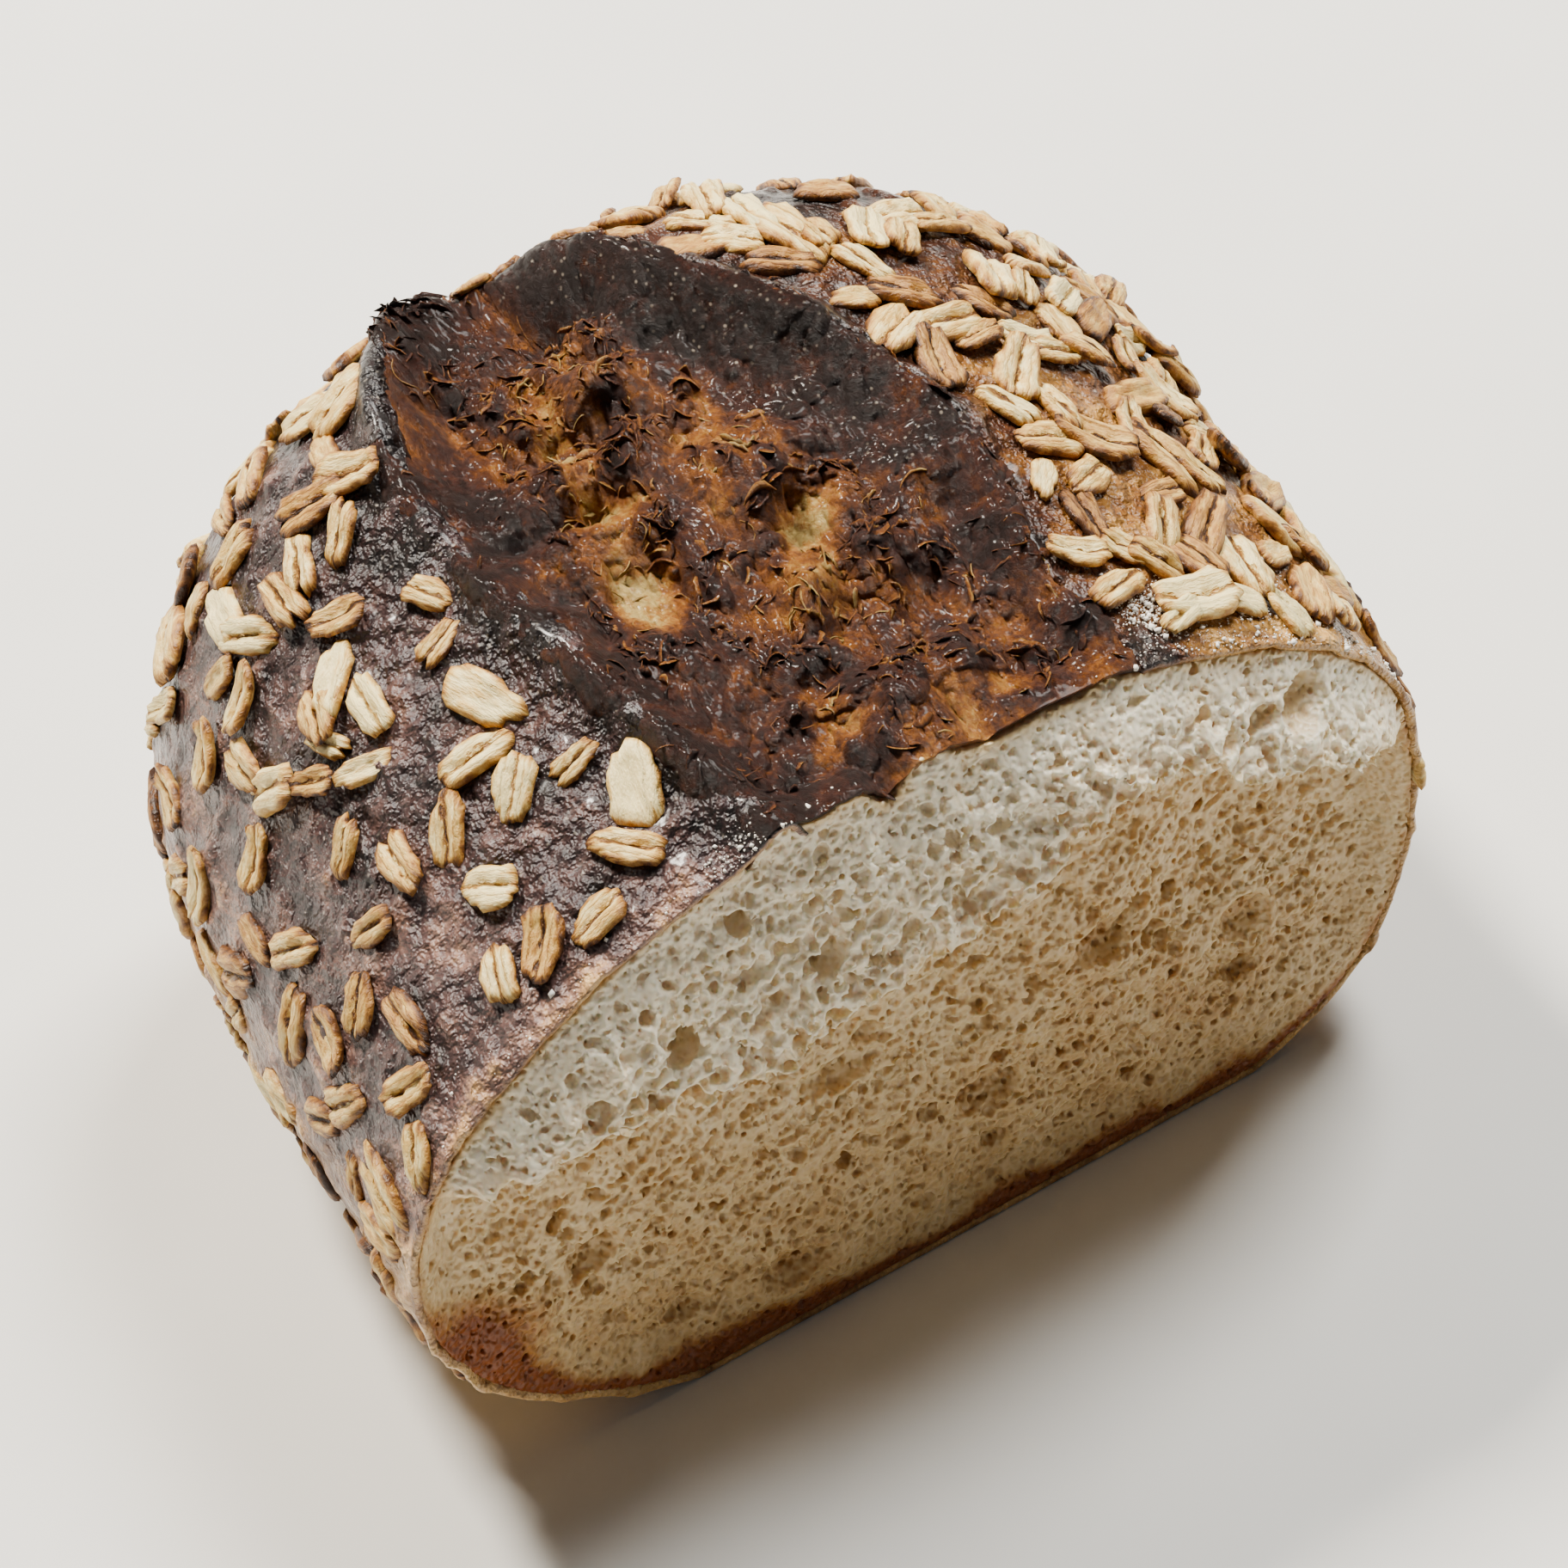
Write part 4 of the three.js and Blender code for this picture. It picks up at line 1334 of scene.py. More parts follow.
@dataclass(frozen=True)
class Bloom:
    """The torn dough between the scorched lip on the left and the ear on the right."""

    form: LoafForm
    rows: int = 400
    columns: int = 236
    past_lip: float = 4.5
    past_ear: float = 2.6
    skirt: float = 3.0
    skirt_further: float = 8.0
    front_lip: float = 1.0
    front_back: float = 3.5
    chop: float = 0.32
    rim_height: float = 0.8
    hollows: tuple[Hollow, ...] = (
        Hollow(55.0, -13.5, 6.0, 6.5, 2.4, 0.95),
        Hollow(45.5, -15.0, 7.0, 5.4, 2.6, 0.9),
        Hollow(34.5, -15.6, 8.5, 5.0, 2.4, 1.0),
        Hollow(49.0, 1.5, 6.0, 6.0, 1.6, 0.65),
        Hollow(33.0, 5.0, 6.0, 7.0, 2.6, 1.0),
        Hollow(26.0, -3.0, 6.5, 7.0, 1.5, 0.6),
        Hollow(19.5, 7.0, 7.5, 9.0, 2.5, 0.75),
        Hollow(12.5, 20.5, 6.0, 6.0, 1.2, 0.8),
        Hollow(8.6, -7.0, 3.8, 9.0, 1.7, 0.4),
        Hollow(4.5, 9.0, 4.0, 8.0, 0.9, 0.66),
        Hollow(65.0, -11.0, 6.0, 7.0, 1.4, 0.7),
        Hollow(76.0, -13.0, 8.5, 9.5, 4.5, 0.15),
    )

    def bowls(self, back: Array, y: Array) -> tuple[Array, Array, Array]:
        """Give the height that the tears take away, how pale their floors are, and their rims.

        Args:
            back: distance back from the cut.
            y: place across.
        Returns:
            Heights in mm, and two shares from 0 to 1.
        """
        flat = np.stack([back, y, np.zeros_like(y)], axis=-1)
        stray_back = 2.4 * layered_noise(flat, 5.0, 4, 21.0)
        stray_y = 2.4 * layered_noise(flat, 5.0, 4, 57.0)
        height, pale, rims = np.zeros_like(y), np.zeros_like(y), np.zeros_like(y)
        for tear in self.hollows:
            off_back = (back + stray_back - tear.back) / tear.half_back
            off = np.hypot(off_back, (y + stray_y - tear.y) / tear.half_y)
            bowl = np.clip(1 - off**2, 0, 1) ** 0.75
            rim = hump((off - 1.1) / 0.17)
            height = np.minimum(height, -tear.depth * bowl) + self.rim_height * rim
            pale = np.maximum(pale, tear.pale * ramp(1.25 - off, 0.0, 0.9))
            rims = np.maximum(rims, rim)
        return height, pale, rims

    def band(self, back: Array, y: Array) -> Array:
        """Give 1 on the ear's scorched band and 0 elsewhere.

        Args:
            back: distance back from the cut.
            y: place across.
        Returns:
            A share for each place.
        """
        form = self.form
        right = smooth_curve(form.right_edge, back)
        wide = smooth_curve(form.band_width, back) + 1.5
        return ramp(y - right + wide, -1.0, 1.5) * ramp(back, form.crest_starts - 2, form.crest_full)

    def relief(self, flat: Array, bowl: Array, band: Array) -> tuple[Array, Array]:
        """Give how far the dough stands over the skin, and where its folds and fibres are sharp.

        Args:
            flat: places as the distance back from the cut, the place across and nought.
            bowl: the height that the tears take away.
            band: 1 on the ear's scorched band.
        Returns:
            Heights in mm, and the sharpness of the crests from 0 to 2.
        """
        back, y = flat[..., 0], flat[..., 1]
        strands = np.stack([back * 0.6 + 3 * layered_noise(flat, 9.0, 2, 77.0), y, np.zeros_like(y)], axis=-1)
        folds = 0.5 - np.abs(layered_noise(strands, 6.5, 3, 2.0)) * 2.4
        fibres = 0.5 - np.abs(layered_noise(strands * np.array([0.8, 1.2, 1.0]), 1.9, 3, 14.0)) * 2.2
        grain = layered_noise(flat, 0.9, 3, 33.0)
        blisters = ramp(layered_noise(flat, 2.3, 2, 66.0), 0.0, 0.45)
        height = (1 - band) * (bowl + 1.25 * folds + 0.55 * fibres + 0.28 * grain)
        bark = 0.5 - np.abs(layered_noise(flat * np.array([0.5, 1.1, 1.0]), 2.2, 3, 71.0)) * 2.2
        lumps = layered_noise(flat, 6.0, 3, 12.0)
        height = height + band * (0.35 * blisters + 0.7 * lumps + 0.5 * bark + 0.35 * grain)
        return height, ramp(folds, 0.1, 0.5) + ramp(fibres, 0.2, 0.5)

    def tone(self, flat: Array, rise: Array, pale: Array, band: Array) -> Array:
        """Give how dark the dough is baked: most on the ear and by the lip, least in the tears.

        Args:
            flat: places as the distance back from the cut, the place across and nought.
            rise: how far the dough stands above the floors of the tears.
            pale: how pale a tear leaves it, 0 away from the tears.
            band: 1 on the ear's scorched band.
        Returns:
            A value for each place, 1 for scorched.
        """
        back, y = flat[..., 0], flat[..., 1]
        from_lip = y - smooth_curve(self.form.left_edge, back)
        from_ear = y - smooth_curve(self.form.right_edge, back)
        near_lip = hump(np.maximum(0, from_lip + 1) / 8.5)
        bake = 0.61 + 0.22 * np.clip(rise, -1.5, 1.6) - 0.4 * pale * (1 - band)
        bake = bake + 0.18 * near_lip * (1 - pale) + 0.26 * band
        bake = bake - 0.12 * hump(back / 4.5) * (1 - 0.7 * near_lip)
        bake = bake + 0.32 * layered_noise(flat, 6.0, 5, 6.0) + 0.2 * layered_noise(flat, 2.2, 3, 36.0)
        bake = bake + 0.09 * (1 - ramp(back, 12, 30)) * (1 - pale)
        bake = bake + 0.16 * hump((from_ear + 4) / 5) * hump((back - 22) / 10)
        return np.clip(bake + 0.08 * ramp(back, 62, 80), 0.02, 1)

    @cached_property
    def sheet(self) -> dict[str, Array]:
        """The torn sheet's points, the way it faces, its tone, its ear and its sharp edges."""
        form = self.form
        back_row = np.linspace(-0.15, form.bloom_ends + 3, self.rows)
        share = np.linspace(0, 1, self.columns)
        left = smooth_curve(form.left_edge, back_row)[:, None] - self.past_lip
        right = smooth_curve(form.right_edge, back_row)[:, None] + self.past_ear
        back = np.repeat(back_row[:, None], self.columns, axis=1)
        y = left + (right - left) * share
        flat = np.stack([back, y, np.zeros_like(y)], axis=-1)
        band = self.band(back, y)
        bowl, pale, rims = self.bowls(back, y)
        height, crests = self.relief(flat, bowl, band)
        edge = 1.7 * layered_noise(flat, 3.2, 4, 48.0)
        dip = np.minimum(y - left, right - y) + edge
        dip = np.minimum(dip, (form.bloom_ends + 3 - back) + edge)
        sink = 1 - ramp(dip, 0.2, 3.2)
        height = height * (1 - 0.75 * sink) - 1.9 * sink + 0.2
        height = mix(height, np.minimum(height, 0.25), hump(back / 1.6))
        step_back = back_row[1] - back_row[0]
        slope_back = np.gradient(height, axis=0) / step_back
        slope_y = np.gradient(height, axis=1) / np.gradient(y, axis=1)
        keep = ramp(back, 0.3, 2.5) * ramp(dip, 0.0, 2.0)
        moved_back = back - self.chop * np.clip(slope_back, -1.6, 1.6) * keep
        moved_y = y - self.chop * np.clip(slope_y, -1.6, 1.6) * keep
        arc = form.arc_of(moved_back)
        half = form.width / 2 * np.maximum(form.station(arc)[1], 0.05)
        turn = form.turn_reaching(np.clip(moved_y, -0.95 * half, 0.95 * half), half)
        skin, out = form.skin(arc, turn)
        points = skin + out * height[..., None]
        points[..., 2] = eased_under(points[..., 2], form.topmost - 0.1)
        free = 1 - band
        bake = self.tone(flat, height - bowl * free, pale, band)
        ear_edge = 0.9 * hump((y - smooth_curve(form.right_edge, back) + 0.2) / 1.1) * ramp(back, 24, 32)
        edges = (rims + 0.4 * crests) * free * ramp(dip, 1.0, 4.0) + ear_edge * (back < 78)
        return {"points": points, "out": out, "bake": bake, "band": band, "edges": edges}

    def build(self, finish: TornBloomFinish) -> bpy.types.Object:
        """Turn the sheet's front under, close it below from edge to edge, and dress it.

        Args:
            finish: the torn dough's finish.
        Returns:
            The bloom.
        """
        points, out, bake, band = (self.sheet[key] for key in ("points", "out", "bake", "band"))
        turned = [points[0] - out[0] * self.skirt, points[0] - out[0] * self.front_lip]
        turned[0][:, 0] -= self.front_back
        turned[1][:, 0] -= self.front_lip / 4
        points = np.concatenate([turned, points])
        out, bake, band = (np.concatenate([a[:1], a[:1], a]) for a in (out, bake, band))
        rows, columns = points.shape[:2]
        further = ramp(np.linspace(0, self.form.bloom_ends, rows), 40, 62)[:, None]
        deep = self.skirt + self.skirt_further * further
        under_left = points[:, 0] - out[:, 0] * deep
        under_right = points[:, -1] - out[:, -1] * deep
        places = np.concatenate([points.reshape(-1, 3), under_left, under_right])
        top = grid_quads(rows, columns, False)[:, ::-1]
        r = np.arange(rows - 1)
        base_left, base_right = rows * columns, rows * columns + rows
        side_left = np.stack([r * columns, (r + 1) * columns, base_left + r + 1, base_left + r], -1)
        ends_here, ends_next = r * columns + columns - 1, (r + 1) * columns + columns - 1
        side_right = np.stack([base_right + r, base_right + r + 1, ends_next, ends_here], -1)
        below = np.stack([base_left + r, base_left + r + 1, base_right + r + 1, base_right + r], -1)
        ends = []
        for row, turned in ((0, False), (rows - 1, True)):
            c = row * columns + np.arange(columns)
            loop = np.concatenate([c, [base_right + row]])
            fan = np.stack([np.full(len(loop) - 1, base_left + row), loop[1:], loop[:-1]], -1)
            ends.append(fan[:, ::-1] if turned else fan)
        faces = [np.concatenate([top, side_left, side_right, below]), np.concatenate(ends)]
        spare = np.full(2 * rows, 0.6)
        marks = {
            "bake": np.concatenate([bake.ravel(), spare]),
            "scorched": np.concatenate([band.ravel(), spare * 0]),
        }
        places, faces = face_outwards(places, faces)
        return make_piece("bloom", places, faces, finish.material(), marks)


@dataclass(frozen=True)
class Shreds:
    """Thin crisp films and threads of torn dough that stand along the bloom's edges."""

    bloom: Bloom
    films: int = 520
    threads: int = 420
    along: int = 9
    thick: float = 0.13
    seed: int = 29

    def blade(self, rng: np.random.Generator, seat: tuple, length: float, tall: float) -> Array:
        """Shape one film: a strip that stands on the dough, ragged on top and curled over.

        Args:
            rng: the seeded random draw.
            seat: its place, the way it runs and the way that is outwards.
            length: how long it is.
            tall: how far it stands up.
        Returns:
            Rings of six points along it, in mm.
        """
        place, run, out = seat
        side = unit(np.cross(out, run))
        s = np.linspace(-1, 1, self.along)
        bow = rng.uniform(-0.35, 0.35) * length
        ragged = np.clip(1 - np.abs(s) ** 2.5, 0.02, 1) ** 0.6 * rng.uniform(0.55, 1.0, self.along)
        base = place + np.outer(s * length / 2, run) + np.outer(bow * s**2, side) - out * 0.35
        base = base - np.outer(0.12 * (s * length / 2) ** 2 / 3, out)
        lean, curl = rng.uniform(-0.7, 0.7), rng.uniform(-1.1, 1.1)
        rows = []
        for share in (0.0, 0.6, 1.0):
            angle = lean + curl * share
            height = ragged * (tall * share + 0.35 * (share > 0))
            rows.append(base + np.outer(height, out * math.cos(angle) + side * math.sin(angle)))
        half = side * self.thick / 2
        left = [rows[0] - half, rows[1] - half, rows[2] - half * 0.5]
        right = [rows[2] + half * 0.5, rows[1] + half, rows[0] + half]
        return np.stack(left + right, axis=1)

    def build(self, finish: TornBloomFinish) -> bpy.types.Object:
        """Stand the films and threads on the sharpest edges of the torn dough.

        Args:
            finish: the torn dough's finish.
        Returns:
            All of them as one piece.
        """
        rng = np.random.default_rng(self.seed)
        sheet = self.bloom.sheet
        points, out = sheet["points"], sheet["out"]
        edges = sheet["edges"][4:-4, 4:-4] ** 2
        chosen = rng.choice(edges.size, self.films + self.threads, p=(edges / edges.sum()).ravel())
        rings, tones = [], []
        for number, flat_index in enumerate(chosen):
            r, c = np.unravel_index(flat_index, edges.shape)
            r, c = r + 4, c + 4
            lengthways = unit(points[r + 3, c] - points[r - 3, c])
            across = unit(points[r, c + 3] - points[r, c - 3])
            level_back = sheet["edges"][r + 3, c] - sheet["edges"][r - 3, c]
            level_y = sheet["edges"][r, c + 3] - sheet["edges"][r, c - 3]
            run = unit(-level_y * lengthways + level_back * across + rng.normal(0, 0.12, 3))
            thread = number >= self.films
            length = rng.uniform(1.5, 4.5) if thread else rng.uniform(1.2, 4.2)
            tall = rng.uniform(0.1, 0.25) if thread else rng.uniform(0.35, 1.25)
            rings.append(self.blade(rng, (points[r, c], run, out[r, c]), length, tall))
            tone = sheet["bake"][r, c] - 0.1 + rng.uniform(-0.25, 0.2)
            tones.append(tone + np.repeat([[0.12, 0.0, -0.22, -0.22, 0.0, 0.12]], self.along, axis=0))
        around = rings[0].shape[1]
        quads = grid_quads(self.along, around, True)
        first = np.array([[0, 1, 2, 3], [0, 3, 4, 5]])
        last = first[:, ::-1] + (self.along - 1) * around
        one = np.concatenate([quads, first, last])
        size = self.along * around
        faces = (one[None] + size * np.arange(len(rings))[:, None, None]).reshape(-1, 4)
        places = np.concatenate(rings).reshape(-1, 3)
        places[:, 2] = eased_under(places[:, 2], self.bloom.form.topmost)
        places, faces = face_outwards(places, [faces])
        tone = np.clip(np.concatenate(tones).ravel(), 0.02, 1)
        marks = {"bake": tone, "scorched": np.zeros(len(tone))}
        return make_piece("shreds", places, faces, finish.material(), marks)


@dataclass(frozen=True)
class Dust:
    """Flour and fine crumbs lying on the crust beside the cut.

    Attributes:
        patches: for each patch its place back and across, its spread back and across, and its share.
    """

    form: LoafForm
    specks: int = 1400
    seed: int = 91
    patches: tuple[tuple[float, float, float, float, float], ...] = (
        (1.5, 40.0, 1.6, 9.0, 0.5),
        (7.5, 32.5, 2.0, 2.4, 1.0),
        (8.5, 45.0, 2.2, 3.0, 0.8),
        (1.2, -21.0, 1.2, 5.0, 0.3),
        (1.0, 56.0, 1.5, 5.0, 0.35),
        (2.0, -45.0, 2.0, 9.0, 0.12),
    )

    def build(self, finish: PlainFinish) -> bpy.types.Object:
        """Scatter small rough grains in patches.

        Args:
            finish: the flour's finish.
        Returns:
            All the grains as one piece.
        """
        form = self.form
        rng = np.random.default_rng(self.seed)
        share = np.array([patch[4] for patch in self.patches])
        pick = rng.choice(len(self.patches), self.specks, p=share / share.sum())
        patch = np.array(self.patches)[pick]
        back = np.abs(patch[:, 0] + patch[:, 2] * rng.normal(size=self.specks))
        y = patch[:, 1] + patch[:, 3] * rng.normal(size=self.specks)
        y = np.clip(y, -62, 62)
        half = np.full(self.specks, form.width / 2)
        skin, out = form.skin(form.arc_of(back), form.turn_reaching(y, half))
        size = 0.07 + 0.12 * rng.uniform(size=self.specks) ** 2 + 0.35 * rng.uniform(size=self.specks) ** 12
        corners = np.array([[1, 0, 0], [0, 1, 0], [-1, 0, 0], [0, -1, 0], [0, 0, 1], [0, 0, -1]], float)
        shape = corners[None] * rng.uniform(0.6, 1.3, (self.specks, 6, 1)) * size[:, None, None]
        places = np.einsum("nij,nkj->nki", random_turns(rng, self.specks), shape)
        places = places + (skin + out * 0.2)[:, None]
        over = [[n, (n + 1) % 4, 4] for n in range(4)]
        one = np.array(over + [[b, a, 5] for a, b, _ in over])
        faces = (one[None] + 6 * np.arange(self.specks)[:, None, None]).reshape(-1, 3)
        return make_piece("flour", places.reshape(-1, 3), [faces], finish.material())


class FlakeShape(Enum):
    """The ways a rolled oat comes out of the rollers."""

    CREASED = "creased"
    FLAT = "flat"
    SPLIT = "split"
    CURLED = "curled"
    BROKEN = "broken"


@dataclass(frozen=True)
class OatTopping:
    """Rolled oat flakes pressed onto the flanks, scattered by the solid's own rule."""

    form: LoafForm
    flake_length: float = 9.4
    flake_width: float = 5.2
    flake_thick: float = 2.1
    tries_in_solid: int = 430
    tries: int = 3600
    spacing_left: float = 3.9
    spacing_right: float = 3.6
    bare_patch: tuple[float, float, float] = (-35.0, 27.0, 12.0)
    floured: tuple[tuple[float, float], ...] = ((35.6, 32.1), (34.0, 45.6))
    from_cut: float = 5.5
    share_left: float = 0.42
    share_right: float = 0.8
    clump_mm: float = 13.0
    start_z: float = 8.0
    full_z: float = 26.0
    sectors: int = 22
    top_rings: tuple[float, ...] = (0.3, 0.56, 0.78, 0.93, 1.0)
    under_rings: tuple[float, ...] = (0.86, 0.45)
    variants: int = 12
    seed: int = 5

    def density(self, arc: Array, points: Array, further: bool = False) -> Array:
        """Give the share of flakes that stick: none in the bloom, at the cut or near the table.

        Args:
            arc: places along the walk from the cut.
            points: the same places in mm.
            further: for the flakes that fill in, which stick nearer to the cut and lower down.
        Returns:
            A share for each place.
        """
        form = self.form
        back, shrink = form.station(arc)
        back_mm = back * form.length
        left, right = smooth_curve(form.left_edge, back_mm), smooth_curve(form.right_edge, back_mm)
        y, z = points[:, 1], points[:, 2]
        crown = (z > form.waist + 12) & (back_mm < form.bloom_ends)
        from_cut = self.from_cut * (0.6 if further else 1)
        bare = (crown & (y > left - 4.5) & (y < right + 3.5)) | (back_mm < from_cut)
        side = np.where(y > 0, self.share_right, self.share_left)
        if further:
            at_x, at_y, size = self.bare_patch
            bare = bare | ((np.hypot(points[:, 0] - at_x, y - at_y) < size) & (z > 60))
            return np.where(bare, 0.0, side * ramp(z, 4, 14) * shrink)
        return np.where(bare, 0.0, side * ramp(z, self.start_z, self.full_z) * shrink)

    def flake(self, shape: FlakeShape, number: int) -> tuple[Array, list[Array], Array]:
        """Model one flake lying flat, its length along X.

        Args:
            shape: how it was rolled.
            number: seeds its outline.
        Returns:
            Points in mm, faces, and where each point lies: along, across and how near the edge.
        """
        rng = np.random.default_rng(self.seed * 100 + number)
        around = np.arange(self.sectors) / self.sectors * 2 * math.pi
        phase = rng.uniform(0, 6.28, 4)
        wobble = 0.05 * np.sin(2 * around + phase[0]) + 0.06 * np.sin(3 * around + phase[1])
        wobble = wobble + 0.05 * np.sin(5 * around + phase[2]) + 0.05 * np.sin(9 * around + phase[3])
        wobble = wobble + rng.uniform(-0.04, 0.04, self.sectors)
        cut_off = 0.35 if shape is FlakeShape.BROKEN else 0.0
        reach = 1 + wobble
        reach = reach * (1 - cut_off * ramp(np.cos(around), 0.35, 0.9))
        if shape is FlakeShape.SPLIT:
            reach = reach * (1 - 0.42 * hump((np.abs(around - math.pi)) / 0.22))
        length, width = rng.uniform(0.88, 1.12), rng.uniform(0.74, 1.08)
        groove = 0.0 if shape is FlakeShape.FLAT else rng.uniform(0.5, 1.0)
        cup = rng.uniform(0.3, 0.7) if shape in (FlakeShape.FLAT, FlakeShape.CURLED) else 0.0
        bend = rng.uniform(0.03, 0.05) if shape is FlakeShape.CURLED else rng.uniform(-0.01, 0.025)
        rows, lies = [], []
        rings = [(ring, True) for ring in self.top_rings] + [(ring, False) for ring in self.under_rings]
        for ring, top in rings:
            x = ring * reach * signed_power(np.cos(around), 0.82) * self.flake_length / 2 * length
            y = ring * reach * signed_power(np.sin(around), 0.82) * self.flake_width / 2 * width
            wave = 0.3 * value_noise(x * 0.55 + number * 7, y * 0.8, 2.0)
            dome = self.flake_thick * 0.55 * (1 - ring**5) ** 0.6
            if top:
                line = hump((y + 0.25 * np.sin(x * 0.7 + phase[1])) / 0.45) * (1 - ring**4)
                z = dome + wave - groove * line - cup * hump(ring / 0.6)
            else:
                z = 0.4 * wave - 0.55 * dome
            z = z + bend * x**2 * (1 if shape is FlakeShape.CURLED else -0.6) + 0.03 * y**2
            rows.append(np.stack([x, y, z], axis=-1))
            lies.append(np.stack([x, y + (2.6 if groove == 0 else 0.0), np.full_like(x, ring)], axis=-1))
        n, count = self.sectors, len(rows)
        poles = [rows[0][0] * [0, 0, 1] + [0, 0, 0.2], rows[-1][0] * [0, 0, 1] - [0, 0, 0.1]]
        places = np.concatenate([*rows, np.array(poles)])
        values = np.concatenate([*lies, lies[0].mean(0)[None] * [1, 1, 0], lies[-1].mean(0)[None]])
        return places, [grid_quads(count, n, True), *end_fans(count, n)], values

    def seats(self) -> dict[str, Array]:
        """Work out where each flake lies, which way it faces, its size and its tone."""
        form = self.form
        n = np.arange(1, self.tries + 1, dtype=float)
        arc = 0.93 * frac(n * STEP_A)
        turn = form.turn_at_share(frac(n * STEP_B))
        place, _ = form.skin(arc, turn)
        in_solid = n <= self.tries_in_solid
        share = np.where(in_solid, self.density(arc, place), self.density(arc, place, further=True))
        sticks = frac(n * STEP_C) < share
        n, arc, turn, place = n[sticks], arc[sticks], turn[sticks], place[sticks]
        roomy = np.ones(len(n), bool)
        clumps = layered_noise(place, self.clump_mm, 2, 19.0)
        for k in np.nonzero(n > self.tries_in_solid)[0]:
            gap = self.spacing_right if place[k, 1] > 0 else self.spacing_left * (1.25 - 1.1 * clumps[k])
            roomy[k] = np.linalg.norm(place[:k][roomy[:k]] - place[k], axis=1).min() > gap
        n, arc, turn, place = n[roomy], arc[roomy], turn[roomy], place[roomy]
        step = 0.02
        ahead = form.skin(arc - step, turn)[0] - form.skin(arc + step, turn)[0]
        across = form.skin(arc, turn + step)[0] - form.skin(arc, turn - step)[0]
        out = unit(np.cross(across, ahead))
        rng = np.random.default_rng(self.seed)
        size = 0.82 + 0.36 * frac(n * STEP_C * 7)
        size = np.where(n > self.tries_in_solid, size * rng.uniform(0.72, 1.0, len(n)), size)
        lift = np.zeros(len(n))
        tilt = rng.normal(0, 0.1, (len(n), 2))
        for k in range(1, len(n)):
            gap = np.linalg.norm(place[:k] - place[k], axis=1)
            under = gap < 5.2
            if under.any():
                lift[k] = min(1.1, lift[:k][under].max() + 0.55)
                tilt[k] *= 1.5
        outermost = np.maximum(ramp(np.abs(place[:, 1]), 58, 64.5), ramp(-place[:, 0], 40, 44))
        outermost = np.maximum(outermost, ramp(place[:, 2], 87, 90))
        lift, tilt = lift * (1 - outermost), tilt * (1 - outermost)[:, None]
        toast = 0.22 + 0.15 * rng.normal(size=len(n)) + 0.35 * (rng.uniform(size=len(n)) < 0.09)
        toast = toast - np.where(place[:, 1] < 0, 0.1, 0.05)
        for at_x, at_y in self.floured:
            toast = toast - 0.4 * hump(np.hypot(place[:, 0] - at_x, place[:, 1] - at_y) / 5)
        return {
            "place": place + out * (lift + 0.5 - 0.55 * outermost)[:, None],
            "out": out,
            "heading": frac(n * STEP_D) * math.pi + math.pi * (frac(n * 0.37) > 0.5),
            "size": size,
            "tilt": tilt,
            "toast": np.clip(toast, -0.2, 0.9),
        }

    def flake_shapes(self, material: bpy.types.Material) -> bpy.types.Collection:
        """Make every variant of a flake, out of the scene.

        Args:
            material: their finish.
        Returns:
            The collection that holds them.
        """
        kinds = list(FlakeShape)
        holder = bpy.data.collections.new("flake_shapes")
        for number in range(self.variants):
            points, faces, lie = self.flake(kinds[number % len(kinds)], number)
            shape = make_piece(f"flake_{number:02d}", points, faces, material, {"lie": lie})
            bpy.context.scene.collection.objects.unlink(shape)
            holder.objects.link(shape)
        return holder

    def seat_points(self) -> bpy.types.Object:
        """Make a mesh of one point for each flake, which carries its turn, size and toast.

        Returns:
            The mesh's object.
        """
        seats = self.seats()
        rotation = np.zeros((len(seats["size"]), 3))
        for k, (out, heading, tilt) in enumerate(zip(seats["out"], seats["heading"], seats["tilt"])):
            upright = Vector(out).to_track_quat("Z", "X").to_matrix()
            spin = Matrix.Rotation(heading, 3, "Z")
            tip = Matrix.Rotation(tilt[0], 3, "X") @ Matrix.Rotation(tilt[1], 3, "Y")
            rotation[k] = (upright @ spin @ tip).to_euler("XYZ")
        mesh = bpy.data.meshes.new("oat_seats")
        mesh.from_pydata((seats["place"] * MM).tolist(), [], [])
        mark_points(mesh, {"turned": rotation, "size": seats["size"], "toast": seats["toast"]})
        seat = bpy.data.objects.new("oat_seats", mesh)
        bpy.context.scene.collection.objects.link(seat)
        return seat

    def build(self, finish: OatFinish) -> bpy.types.Object:
        """Scatter the flakes with Geometry Nodes and turn the result to a plain mesh.

        Args:
            finish: the flakes' finish.
        Returns:
            All the flakes as one piece.
        """
        material = finish.material()
        holder = self.flake_shapes(material)
        seat = self.seat_points()
        tree = self.scatter_tree(holder, material)
        modifier = seat.modifiers.new("scatter", "NODES")
        modifier.node_group = tree
        for item in tree.interface.items_tree:
            if item.item_type == "SOCKET" and item.in_out == "INPUT" and item.name == "Flake Size":
                modifier[item.identifier] = 1.0
        bpy.context.view_layer.update()
        evaluated = seat.evaluated_get(bpy.context.evaluated_depsgraph_get())
        result = bpy.data.meshes.new_from_object(evaluated)
        piece = bpy.data.objects.new("oats", result)
        bpy.context.scene.collection.objects.link(piece)
        bpy.data.objects.remove(seat)
        for shape in list(holder.objects):
            bpy.data.objects.remove(shape)
        bpy.data.collections.remove(holder)
        piece.data.name = "oats"
        log.info("oats: %d faces", len(piece.data.polygons))
        return piece

